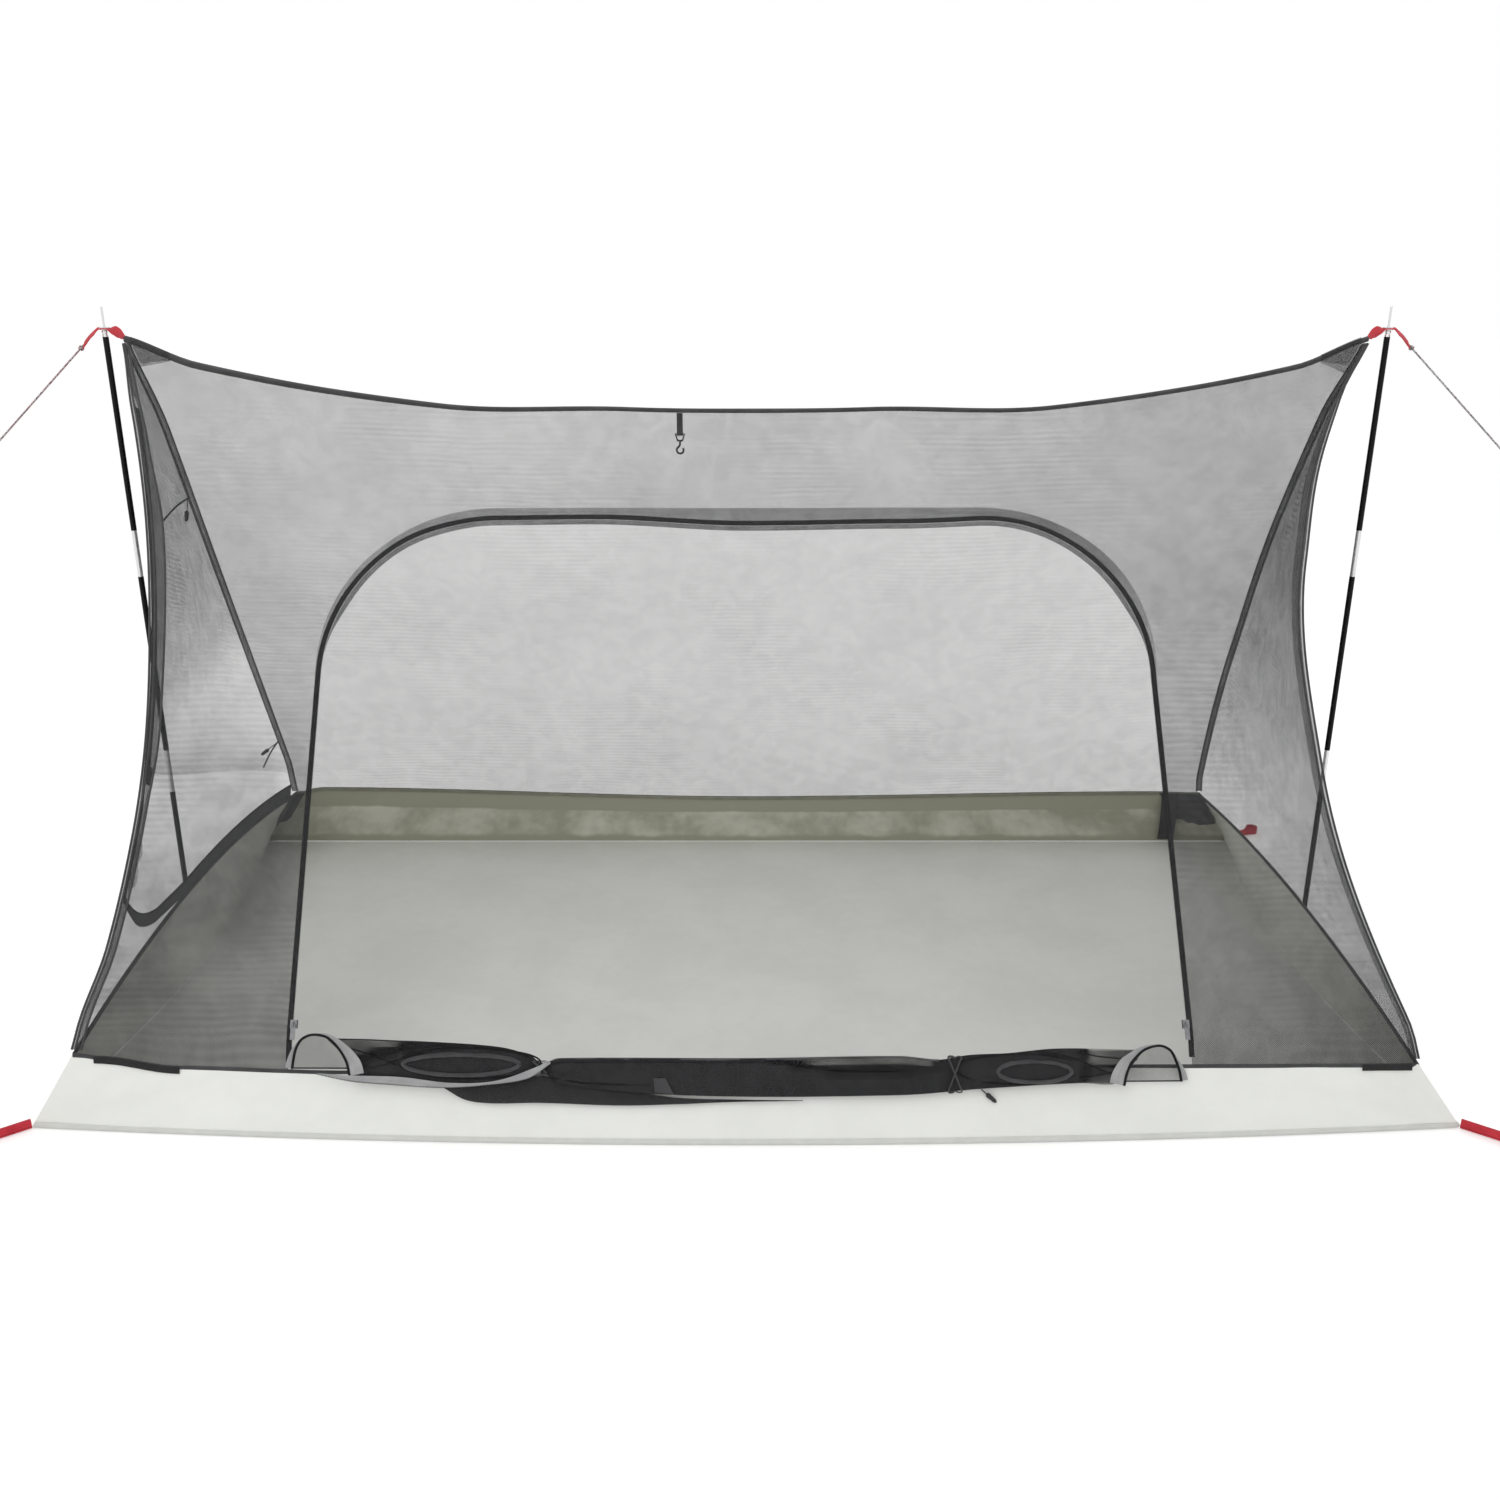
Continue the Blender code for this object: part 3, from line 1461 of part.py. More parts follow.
def make_corner_loop(side, face, word):
    turn = math.radians(LOOP_TURN)
    along = Vector((side * math.cos(turn), face * math.sin(turn), 0))
    across = Vector((-along.y, along.x, 0))
    start = Vector((side * HALF_FLOOR_LENGTH, face * HALF_FLOOR_WIDTH, TOUCH))
    start += along * (LOOP_CLOTH / 2 + CLOTH_THICKNESS + TOUCH)
    grid = []
    for distance, offset in loop_outline():
        place = start + along * distance + across * offset
        grid.append([place, place + Vector((0, 0, LOOP_HEIGHT))])
    red_webbing(sheet(f"corner_loop_{word}", grid, LOOP_CLOTH, ring=True))


def guy_direction(side):
    slope = math.radians(GUY_SLOPE)
    return Vector((side * math.cos(slope), 0, -math.sin(slope)))


def guy_path(side):
    direction = guy_direction(side)
    start = apex_webbing_path(side)[-1] + direction * TOUCH
    return [start + direction * (GUY_LENGTH * t) for t in spread(GUY_STEPS)]


def make_guyline(side, word):
    path = guy_path(side)
    swell = []
    for i in range(len(path)):
        end = min(i, len(path) - 1 - i)
        swell.append(1 + KNOT_SWELL * bump(end, KNOT_PLACE, 1.0))
    flecked_cord(tube(f"guyline_{word}", path, GUY_RADIUS, 2, swell=swell))


# Lantern strap, toggles and the strap in the back corner.


def strap_eye_height():
    return ridge_height(LANTERN_PLACE) - SEAM_RADIUS - TOUCH - STRAP_LENGTH


def make_lantern_strap():
    eye_radius = HOOK_WIRE + TOUCH + STRAP_THICKNESS / 2
    centre = strap_eye_height()
    side = STRAP_THICKNESS / 2 + TOUCH / 2
    top = ridge_height(LANTERN_PLACE) - SEAM_RADIUS - TOUCH - STRAP_THICKNESS / 2
    neck = centre + STRAP_NECK_SHARE * eye_radius
    outline = [(side, top), (side, neck)]
    for t in spread(10):
        angle = math.radians(lerp(STRAP_EYE_START, STRAP_EYE_END, t))
        outline.append((eye_radius * math.cos(angle), centre + eye_radius * math.sin(angle)))
    outline += [(-side, neck), (-side, top)]
    half = STRAP_WIDTH / 2
    grid = []
    for y, z in outline:
        grid.append([Vector((LANTERN_PLACE - half, y, z)), Vector((LANTERN_PLACE + half, y, z))])
    black_tape(sheet("lantern_strap", grid, STRAP_THICKNESS, ring=True))


def make_lantern_hook():
    bar_z = strap_eye_height()
    half = HOOK_EYE_WIDTH / 2
    join = bar_z - HOOK_EYE_HEIGHT
    x = LANTERN_PLACE
    low = half * HOOK_EYE_TAPER
    eye = [(x - half, bar_z), (x + half, bar_z), (x + low, join), (x - low, join)]
    ring = [Vector((px, 0, pz)) for px, pz in eye]
    hook = tube_mesh("lantern_hook", ring, HOOK_WIRE, 2, closed=True)
    bend = join - HOOK_SHANK - HOOK_BEND
    path = [Vector((x, 0, join)), Vector((x, 0, join - HOOK_SHANK * HOOK_SHANK_SHARE))]
    for t in spread(SHORT_STEPS):
        angle = math.radians(lerp(HOOK_BEND_START, HOOK_BEND_END, t))
        px = x + HOOK_BEND * math.cos(angle)
        path.append(Vector((px, 0, bend + HOOK_BEND * math.sin(angle))))
    shank = tube_mesh("lantern_hook_shank", path, HOOK_WIRE, 2)
    combine(hook, shank, "UNION")
    hard_plastic(move_origin(hook, (x, 0, bar_z)))


def make_toggle(name, start, lean, length):
    lean = lean.normalized()
    end = start + lean * length
    line = [start, start.lerp(end, 0.5), end + lean * TOGGLE_GRIP]
    cord = tube_mesh(f"{name}_cord", line, TOGGLE_CORD)
    bm = bmesh.new()
    bmesh.ops.create_cone(
        bm,
        cap_ends=True,
        segments=10,
        radius1=TOGGLE_RADIUS,
        radius2=TOGGLE_RADIUS * TOGGLE_TAPER,
        depth=TOGGLE_LENGTH,
    )
    turn = Vector((0, 0, 1)).rotation_difference(lean).to_matrix().to_4x4()
    centre = end + lean * (TOGGLE_LENGTH / 2)
    bmesh.ops.transform(bm, verts=bm.verts, matrix=Matrix.Translation(centre) @ turn)
    hard_plastic(combine(mesh_object(name, bm), cord, "UNION"))


def make_toggles():
    drop = Vector(TOGGLE_LEAN)
    for word, v in (("upper", UPPER_TOGGLE_SHARE), ("lower", LOWER_TOGGLE_SHARE)):
        seam = seam_point(LEFT, BACK, v)
        start = seam + Vector((-(SEAM_RADIUS + TOGGLE_CORD + TOUCH), 0, 0))
        make_toggle(f"tie_toggle_{word}", start, drop, TOGGLE_CORD_LENGTH)
    # The sill's toggle hangs from the folded door, along the slope of the wall.
    start = fold_point(SILL_TOGGLE, -math.pi / 2)
    start.z += 2 * TOUCH
    reach = SILL_CORD_LENGTH + TOGGLE_LENGTH
    end = start + Vector(SILL_TOGGLE_LEAN) * reach
    end.y += wall_outside(end.x, end.z) - wall_outside(start.x, start.z)
    make_toggle("sill_toggle", start, end - start, SILL_CORD_LENGTH)


def make_pocket_strap():
    x = HALF_RIM_LENGTH - POCKET_STRAP_INSET
    z_top = WALL_HEIGHT - RIM_TAPE_HEIGHT / 2
    y = HALF_RIM_WIDTH - RIM_TAPE_THICKNESS / 2 - TOUCH - STRAP_THICKNESS / 2
    grid = []
    for t in spread(4):
        z = z_top + RIM_TAPE_HEIGHT * POCKET_STRAP_TOP - POCKET_STRAP_LENGTH * t
        hang = POCKET_STRAP_BELLY * math.sin(math.pi * t)
        half = POCKET_STRAP_WIDTH / 2
        grid.append([Vector((x - half, y - hang, z)), Vector((x + half, y - hang, z))])
    black_tape(sheet("pocket_strap", grid, STRAP_THICKNESS))


def make_tent():
    clear_scene()
    make_floor()
    make_wall()
    make_rim_tape()
    make_front_mesh()
    make_back_mesh()
    make_right_mesh()
    make_ridge_seam()
    make_corner_seam("seam_front_left", LEFT, FRONT)
    make_corner_seam("seam_front_right", RIGHT, FRONT)
    make_corner_seam("seam_back_left", LEFT, BACK)
    make_corner_seam("seam_back_right", RIGHT, BACK)
    make_door_zip()
    make_door_sliders()
    make_folded_door()
    make_door_edge()
    make_door_tie("left", LEFT_TIE)
    make_door_tie("right", RIGHT_TIE)
    make_end_door()
    make_end_gather()
    make_end_door_edge()
    make_end_zip()
    make_end_slider()
    for side, word in ((LEFT, "left"), (RIGHT, "right")):
        make_apex_patch(side, word)
        make_pole(side, word)
        make_apex_webbing(side, word)
        make_eyelet(side, word)
        make_guyline(side, word)
        make_corner_loop(side, FRONT, f"front_{word}")
        make_corner_loop(side, BACK, f"back_{word}")
    make_lantern_strap()
    make_lantern_hook()
    make_toggles()
    make_pocket_strap()


make_tent()
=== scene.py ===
import math

import bpy
from mathutils import Matrix, Vector, noise


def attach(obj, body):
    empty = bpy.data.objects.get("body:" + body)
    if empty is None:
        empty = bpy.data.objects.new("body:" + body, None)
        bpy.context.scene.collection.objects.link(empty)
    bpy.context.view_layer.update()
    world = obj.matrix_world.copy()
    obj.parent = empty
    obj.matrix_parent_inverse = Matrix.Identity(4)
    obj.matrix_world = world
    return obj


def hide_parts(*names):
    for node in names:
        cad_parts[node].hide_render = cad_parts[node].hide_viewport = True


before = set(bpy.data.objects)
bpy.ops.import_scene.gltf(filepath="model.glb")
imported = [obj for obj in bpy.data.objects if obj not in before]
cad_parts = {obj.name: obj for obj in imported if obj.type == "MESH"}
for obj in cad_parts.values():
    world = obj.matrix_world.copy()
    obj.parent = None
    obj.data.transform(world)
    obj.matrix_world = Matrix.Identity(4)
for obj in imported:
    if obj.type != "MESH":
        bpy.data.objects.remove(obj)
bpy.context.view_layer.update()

print("the frame is in")

left, right, front, back = -1, 1, -1, 1
sideWords = {left: "left", right: "right"}
gap = 0.0003  # left between pieces that lie on each other
fullTurn = math.tau
smoothTo = 50  # degrees between faces that are shaded as one surface

# Sizes and curves of the pitched tent, in metres. They are the solid model's,
# apart from small waves in ridge, seams and rim that only the scene has.
tent = {
    "halfFloorLength": 1.100,
    "halfFloorWidth": 0.558,
    "frontBow": 0.045,
    "endDrawIn": 0.064,
    "halfRimLength": 1.018,
    "halfRimWidth": 0.547,
    "wallHeight": 0.123,
    "rimRise": {left: 0.052, right: 0.032},
    "halfRidge": 1.024,
    "apexHeight": 1.139,
    "ridgeSag": 0.116,
    "ridgeCurve": 2.3,
    "ridgeDip": {left: 0.0155, right: 0.0180},
    "dipGrows": (0.20, 0.50),
    "dipEnds": (1.0, 0.89),
    "seamSag": {(left, front): 0.082, (right, front): 0.130, (right, back): 0.033, (left, back): 0.0},
    "seamBulge": {
        (left, front): [(0, 0.006), (0.045, 0.009), (0.14, 0.001), (0.30, 0.002), (0.62, 0.009)]
        + [(0.90, 0.008), (1, 0)],
        (right, front): [(0, 0.006), (0.05, 0.011), (0.40, 0.0075), (0.70, -0.012), (0.85, -0.020)]
        + [(0.93, -0.017), (1, 0)],
        (left, back): [(0, 0), (0.10, -0.009), (0.45, -0.010), (0.85, -0.0125), (1, 0)],
        (right, back): [(0, 0), (0.05, -0.005), (0.40, -0.0085), (0.70, -0.0165), (0.88, -0.016), (1, 0)],
    },
    "frontRimDrop": [(-1.018, 0.0), (-0.985, 0.004), (-0.865, 0.019), (-0.62, 0.025), (0.62, 0.016)]
    + [(1.018, 0.016)],
    "backRimLift": [(-1.018, 0.0), (-0.96, 0.013), (0.0, -0.009), (0.91, 0.003), (1.018, 0.0)],
    "dropFade": 0.03,
    "poleX": 1.055,
    "strapTop": 1.1551,
}


def lerp(a, b, t):
    return a + (b - a) * t


def spread(count):
    return [i / count for i in range(count + 1)]


def bump(x, centre, width):
    return math.exp(-(((x - centre) / width) ** 2))


def smooth(t):
    t = min(1.0, max(0.0, t))
    return t * t * (3 - 2 * t)


def faded(x, start, end):
    # 0 at the start, 1 at the end, level beyond both.
    return smooth((x - start) / (end - start))


def inward(along, up, reach):
    # 0 on the edges of a panel, 1 from this share inside them.
    return smooth(min(along, 1 - along, up, 1 - up) / reach)


def ripple(place, size, seed=0.0):
    return noise.noise(Vector(place) / size + Vector((seed, 1.7 * seed, -seed)))


def mottle(place, layers):
    # Each layer has its strength, the size of its waves and its seed.
    return sum(strength * ripple(place, size, seed) for strength, size, seed in layers)


def marked(marks, x):
    # A smooth value between given marks.
    for (start, low), (end, high) in zip(marks, marks[1:]):
        if x <= end:
            return lerp(low, high, smooth((x - start) / (end - start)))
    return marks[-1][1]


def ridgeHeight(x):
    share = min(1.0, abs(x) / tent["halfRidge"])
    dip = tent["ridgeDip"][left if x < 0 else right]
    dip *= faded(share, *tent["dipEnds"]) * faded(share, *tent["dipGrows"])
    return tent["apexHeight"] - tent["ridgeSag"] * (1 - share ** tent["ridgeCurve"]) - dip


def slopeLength(x):
    return math.hypot(tent["halfRimWidth"], ridgeHeight(x) - tent["wallHeight"])


def rimShift(face, x):
    # The rim isn't level: it hangs a little in front and waves at the back.
    if face == back:
        return Vector((0, 0, marked(tent["backRimLift"], x)))
    drop = marked(tent["frontRimDrop"], x)
    lean = (tent["halfFloorWidth"] + frontBow(x) - tent["halfRimWidth"]) / tent["wallHeight"]
    return Vector((0, -lean * drop, -drop))


def sidePoint(face, x, v):
    y = face * tent["halfRimWidth"] * (1 - v)
    place = Vector((x, y, lerp(tent["wallHeight"], ridgeHeight(x), v)))
    return place + rimShift(face, x) * (1 - smooth(v / tent["dropFade"]))


def surfaceNormal(spot, a, b, outwards):
    # The normal of a surface that spot gives by two measures.
    step = 1e-3
    first = spot(a + step, b) - spot(a - step, b)
    second = spot(a, b + step) - spot(a, b - step)
    normal = first.cross(second).normalized()
    return normal if normal.dot(outwards) > 0 else -normal


def sideNormal(face, x, v):
    return surfaceNormal(lambda a, b: sidePoint(face, a, b), x, v, Vector((0, face, 0)))


def sideLifted(face, x, v, lift):
    return sidePoint(face, x, v) + sideNormal(face, x, v) * lift


def seamX(side, face, v):
    reach = lerp(tent["halfRimLength"], tent["halfRidge"], v)
    reach += marked(tent["seamBulge"][side, face], v)
    return side * (reach - tent["seamSag"][side, face] * 4 * v * (1 - v))


def seamPoint(side, face, v):
    return sidePoint(face, seamX(side, face, v), v)


def rimRise(side, u):
    return tent["rimRise"][side] * 4 * u * (1 - u)


def endPoint(side, u, v):
    place = seamPoint(side, back, v).lerp(seamPoint(side, front, v), u)
    place.z += rimRise(side, u) * (1 - v) ** 2
    return place


def endNormal(side, u, v):
    return surfaceNormal(lambda a, b: endPoint(side, a, b), u, v, Vector((side, 0, 0)))


def endInset(v, inset):
    rise = tent["apexHeight"] - tent["wallHeight"]
    lean = rise / math.hypot(tent["halfRimWidth"], rise)
    return inset / lean / (2 * tent["halfRimWidth"] * (1 - v))


def endRimShare(side, u, rise):
    # The height share at which an end panel is this far straight above the rim.
    v = 0.0
    for _ in range(5):
        target = rimRise(side, 0.5 + (u - 0.5) * (1 - v)) + rise
        v = (target - rimRise(side, u) * (1 - v) ** 2) / (tent["apexHeight"] - tent["wallHeight"])
    return v


def frontBow(x):
    return tent["frontBow"] * (1 - (x / tent["halfFloorLength"]) ** 2)


def endDraw(y):
    return tent["halfFloorLength"] - tent["endDrawIn"] * (1 - (y / tent["halfFloorWidth"]) ** 2)


def floorEdge(kind, t):
    if kind in ("front", "back"):
        x = lerp(-tent["halfFloorLength"], tent["halfFloorLength"], t)
        y = tent["halfFloorWidth"] if kind == "back" else -tent["halfFloorWidth"] - frontBow(x)
        return Vector((x, y, 0.0))
    y = lerp(-tent["halfFloorWidth"], tent["halfFloorWidth"], t)
    return Vector(((left if kind == "left" else right) * endDraw(y), y, 0.0))


def rimEdge(kind, t):
    if kind in ("front", "back"):
        face = front if kind == "front" else back
        x = lerp(seamPoint(left, face, 0.0).x, seamPoint(right, face, 0.0).x, t)
        return sidePoint(face, x, 0.0)
    return endPoint(left if kind == "left" else right, 1 - t, 0.0)


def wallOutside(x, z):
    reach = tent["halfFloorWidth"] + frontBow(x) - tent["halfRimWidth"]
    return -tent["halfRimWidth"] - reach * max(0.0, 1 - z / tent["wallHeight"])


# Camera at the photo's place, and plain studio light.
view = {"place": (0.006, -2.409, 1.273), "tilt": 70.51, "lens": 33.74, "sensor": 36.0, "far": 60.0}
studio = {
    "ground": (0.88, 0.88, 0.875, 1.0),
    "groundLift": 0.30,
    "groundSize": 40.0,
    "groundLevel": -0.001,
    "groundRoughness": 0.9,
    "groundShine": 0.1,
    "sky": 0.80,
    "netLayers": 96,
    "lamps": [((-1.6, -2.6, 3.4), (38, -20, 0), 26.0, 2.6), ((2.4, 1.2, 3.2), (-20, 34, 0), 14.0, 2.4)],
}


def addNode(tree, kind, plugs, **settings):
    made = tree.nodes.new(kind)
    for key, value in settings.items():
        setattr(made, key, value)
    for key, value in plugs.items():
        if isinstance(value, bpy.types.NodeSocket):
            tree.links.new(value, made.inputs[key])
        else:
            made.inputs[key].default_value = value
    return made


def sums(tree, operation, *values):
    return addNode(tree, "ShaderNodeMath", dict(enumerate(values)), operation=operation).outputs[0]


def shownRays(tree):
    rays = addNode(tree, "ShaderNodeLightPath", {}).outputs
    both = sums(tree, "MAXIMUM", rays["Is Camera Ray"], rays["Is Glossy Ray"])
    return sums(tree, "MAXIMUM", both, rays["Is Transmission Ray"])


def setStage():
    bpy.ops.object.select_all(action="DESELECT")
    bpy.ops.object.camera_add(location=view["place"], rotation=(math.radians(view["tilt"]), 0, 0))
    camera = bpy.context.object
    camera.data.lens = view["lens"]
    camera.data.sensor_width = view["sensor"]
    camera.data.clip_end = view["far"]
    scene = bpy.context.scene
    scene.camera = camera
    scene.view_settings.view_transform = "Standard"
    scene.cycles.transparent_max_bounces = studio["netLayers"]
    world = bpy.data.worlds.new("studio")
    world.use_nodes = True
    scene.world = world
    tree = world.node_tree
    strength = sums(tree, "MULTIPLY_ADD", shownRays(tree), 1 - studio["sky"], studio["sky"])
    sky = tree.nodes["Background"]
    sky.inputs["Color"].default_value = (1, 1, 1, 1)
    tree.links.new(strength, sky.inputs["Strength"])
    for place, turn, power, size in studio["lamps"]:
        bpy.ops.object.light_add(type="AREA", location=place, rotation=[math.radians(a) for a in turn])
        lamp = bpy.context.object.data
        lamp.energy, lamp.size = power, size
    bpy.ops.mesh.primitive_plane_add(size=studio["groundSize"], location=(0, 0, studio["groundLevel"]))
    ground = bpy.context.object
    ground.name = "studioFloor"
    paper = bpy.data.materials.new("studioPaper")
    paper.use_nodes = True
    tree = paper.node_tree
    shader = tree.nodes["Principled BSDF"]
    shader.inputs["Base Color"].default_value = studio["ground"]
    shader.inputs["Roughness"].default_value = studio["groundRoughness"]
    shader.inputs["Specular IOR Level"].default_value = studio["groundShine"]
    shader.inputs["Emission Color"].default_value = (1, 1, 1, 1)
    lift = sums(tree, "MULTIPLY", shownRays(tree), studio["groundLift"])
    tree.links.new(lift, shader.inputs["Emission Strength"])
    ground.data.materials.append(paper)


setStage()
print("camera, lamps and floor stand")

# Patterns that several finishes share.


def newGroup(name, inputs, outputs):
    tree = bpy.data.node_groups.new(name, "ShaderNodeTree")
    tree.interface.new_socket(name="Vector", in_out="INPUT", socket_type="NodeSocketVector")
    for label, value in inputs:
        socket = tree.interface.new_socket(name=label, in_out="INPUT", socket_type="NodeSocketFloat")
        socket.default_value = value
    for label in outputs:
        tree.interface.new_socket(name=label, in_out="OUTPUT", socket_type="NodeSocketFloat")
    given = tree.nodes.new("NodeGroupInput").outputs
    return tree, given, tree.nodes.new("NodeGroupOutput").inputs


def speckle(tree, vector, scale, detail=4.0, distortion=0.0):
    plugs = {"Vector": vector, "Scale": scale, "Detail": detail, "Distortion": distortion}
    return addNode(tree, "ShaderNodeTexNoise", plugs).outputs["Fac"]


def ranged(tree, value, low, high, start=0.0, end=1.0):
    plugs = {0: value, 1: low, 2: high, 3: start, 4: end}
    return addNode(tree, "ShaderNodeMapRange", plugs, interpolation_type="SMOOTHSTEP").outputs[0]


def buildThreadWeave():
    tree, given, result = newGroup("threadWeave", [("Pitch", 0.001)], ["Height", "Shade"])
    turns = sums(tree, "DIVIDE", fullTurn, given["Pitch"])
    spot = addNode(tree, "ShaderNodeSeparateXYZ", {0: given["Vector"]}).outputs
    warp = sums(tree, "SINE", sums(tree, "MULTIPLY", spot["X"], turns))
    weft = sums(tree, "SINE", sums(tree, "MULTIPLY", spot["Y"], turns))
    tree.links.new(sums(tree, "MULTIPLY", warp, weft), result["Height"])
    tree.links.new(speckle(tree, given["Vector"], 34.0, 6.0), result["Shade"])
    return tree


def buildNetCells():
    # Small six-sided holes, and the faint level lines that show in the knit.
    inputs = [("Pitch", 0.0017), ("Line Gap", 0.0108)]
    tree, given, result = newGroup("netCells", inputs, ["Threads", "Lines"])
    turns = sums(tree, "DIVIDE", fullTurn, given["Pitch"])
    waves = []
    for angle in (0, 60, 120):
        way = (math.cos(math.radians(angle)), math.sin(math.radians(angle)), 0)
        plugs = {0: given["Vector"], 1: way}
        along = addNode(tree, "ShaderNodeVectorMath", plugs, operation="DOT_PRODUCT")
        waves.append(sums(tree, "COSINE", sums(tree, "MULTIPLY", along.outputs["Value"], turns)))
    total = sums(tree, "ADD", sums(tree, "ADD", waves[0], waves[1]), waves[2])
    tree.links.new(ranged(tree, total, -1.1, 0.9, 1.0, 0.0), result["Threads"])
    spot = addNode(tree, "ShaderNodeSeparateXYZ", {0: given["Vector"]}).outputs
    rows = sums(tree, "DIVIDE", sums(tree, "MULTIPLY", spot["Y"], fullTurn), given["Line Gap"])
    sway = sums(tree, "MULTIPLY", speckle(tree, given["Vector"], 4.5, 2.0), 16.0)
    wave = sums(tree, "SINE", sums(tree, "ADD", rows, sway))
    fade = ranged(tree, speckle(tree, given["Vector"], 3.2, 2.0), 0.38, 0.66)
    tree.links.new(sums(tree, "MULTIPLY", wave, fade), result["Lines"])
    return tree


def buildStitchRow():
    inputs = [("Row", 0.002), ("Pitch", 0.0028), ("Width", 0.0006)]
    tree, given, result = newGroup("stitchRow", inputs, ["Stitch"])
    spot = addNode(tree, "ShaderNodeSeparateXYZ", {0: given["Vector"]}).outputs
    off = sums(tree, "ABSOLUTE", sums(tree, "SUBTRACT", spot["Y"], given["Row"]))
    near = sums(tree, "LESS_THAN", off, given["Width"])
    step = sums(tree, "FRACT", sums(tree, "DIVIDE", spot["X"], given["Pitch"]))
    dash = sums(tree, "LESS_THAN", step, 0.7)
    tree.links.new(sums(tree, "MULTIPLY", near, dash), result["Stitch"])
    return tree


def buildSurfaceWear():
    tree, given, result = newGroup("surfaceWear", [("Scale", 60.0)], ["Wear", "Grain"])
    patches = speckle(tree, given["Vector"], given["Scale"], 8.0, 0.4)
    tree.links.new(ranged(tree, patches, 0.52, 0.74), result["Wear"])
    fine = sums(tree, "MULTIPLY", given["Scale"], 14.0)
    tree.links.new(speckle(tree, given["Vector"], fine, 3.0), result["Grain"])
    return tree


threadWeave = buildThreadWeave()
netCells = buildNetCells()
stitchRow = buildStitchRow()
surfaceWear = buildSurfaceWear()


def usePattern(tree, group, **inputs):
    plugs = {key.replace("_", " "): value for key, value in inputs.items()}
    return addNode(tree, "ShaderNodeGroup", plugs, node_tree=group).outputs


def mixed(tree, share, first, second):
    return addNode(tree, "ShaderNodeMix", {0: share, 6: first, 7: second}, data_type="RGBA").outputs[2]


def startFinish(name, roughness, **fixed):
    material = bpy.data.materials.new(name)
    material.use_nodes = True
    tree = material.node_tree
    shader = tree.nodes["Principled BSDF"]
    shader.inputs["Roughness"].default_value = roughness
    for label, value in fixed.items():
        shader.inputs[label.replace("_", " ")].default_value = value
    return material, tree, shader.inputs


def flatSpot(tree):
    return addNode(tree, "ShaderNodeTexCoord", {}).outputs["UV"]


def solidSpot(tree, stretch=(1.0, 1.0, 1.0)):
    whereabouts = addNode(tree, "ShaderNodeTexCoord", {}).outputs["Object"]
    return addNode(tree, "ShaderNodeMapping", {"Vector": whereabouts, "Scale": stretch}).outputs[0]


def bumped(tree, sockets, height, strength, distance):
    plugs = {"Strength": strength, "Distance": distance, "Height": height}
    tree.links.new(addNode(tree, "ShaderNodeBump", plugs).outputs[0], sockets["Normal"])


def tinted(tree, sockets, colour):
    tree.links.new(colour, sockets["Base Color"])


def coatedCloth(name, colour, deep, roughness=0.48, hem=None):
    # Fine nylon with a coating: a faint weave, soft creases and cloudy tone.
    # A hem is a doubled band over this height, darker than the cloth below it, partly as painted shade;
    # with a hem the foot is darker too, painted shade in the crease by the floor.
    material, tree, sockets = startFinish(name, roughness, Specular_IOR_Level=0.35)
    spot = flatSpot(tree)
    weave = usePattern(tree, threadWeave, Vector=spot, Pitch=0.0009)
    cloud = speckle(tree, spot, 6.0, 5.0, 0.3)
    tone = sums(tree, "MULTIPLY_ADD", cloud, 0.7, sums(tree, "MULTIPLY", weave["Shade"], 0.3))
    if hem:
        level = addNode(tree, "ShaderNodeSeparateXYZ", {0: spot}).outputs["Y"]
        # the foot of the wall darker: painted shade in the crease by the floor
        foot = ranged(tree, level, 0.0, 0.022, 0.30, 0.0)
        # the hem band darker: the doubled cloth, and painted shade at the top of the wall
        band = sums(tree, "ADD", ranged(tree, level, hem - 0.006, hem + 0.004, 0.0, 0.30), foot)
        tone = sums(tree, "SUBTRACT", tone, band)
    tinted(tree, sockets, mixed(tree, ranged(tree, tone, 0.35, 0.65), (*deep, 1), (*colour, 1)))
    creases = speckle(tree, spot, 15.0, 7.0, 0.9)
    height = sums(tree, "MULTIPLY_ADD", weave["Height"], 0.03, creases)
    bumped(tree, sockets, height, 0.22, 0.004)
    gloss = ranged(tree, creases, 0.3, 0.7, roughness - 0.06, roughness + 0.08)
    tree.links.new(gloss, sockets["Roughness"])
    return material


def netting(name, colour, pitch=0.0017, contrast=0.5, lines=0.10, clouds=0.08):
    # Black net: the share that the threads cover is the piece's own density.
    material, tree, sockets = startFinish(name, 0.75, Specular_IOR_Level=0.2)
    spot = flatSpot(tree)
    cells = usePattern(tree, netCells, Vector=spot, Pitch=pitch)
    density = addNode(tree, "ShaderNodeAttribute", {}, attribute_name="cover").outputs["Fac"]
    weave = sums(tree, "MULTIPLY_ADD", cells["Threads"], contrast, 1 - contrast / 2)
    mottle = ranged(tree, speckle(tree, spot, 26.0, 7.0, 0.6), 0.3, 0.7, 1 - clouds, 1 + clouds)
    faint = sums(tree, "MULTIPLY", sums(tree, "MULTIPLY_ADD", cells["Lines"], lines, 1.0), mottle)
    cover = sums(tree, "MULTIPLY", density, sums(tree, "MULTIPLY", weave, faint))
    tree.links.new(sums(tree, "MINIMUM", cover, 1.0), sockets["Alpha"])
    shade = speckle(tree, spot, 24.0, 4.0)
    tinted(tree, sockets, mixed(tree, shade, (*[0.8 * c for c in colour], 1), (*colour, 1)))
    bumped(tree, sockets, cells["Threads"], 0.4, 0.0006)
    return material


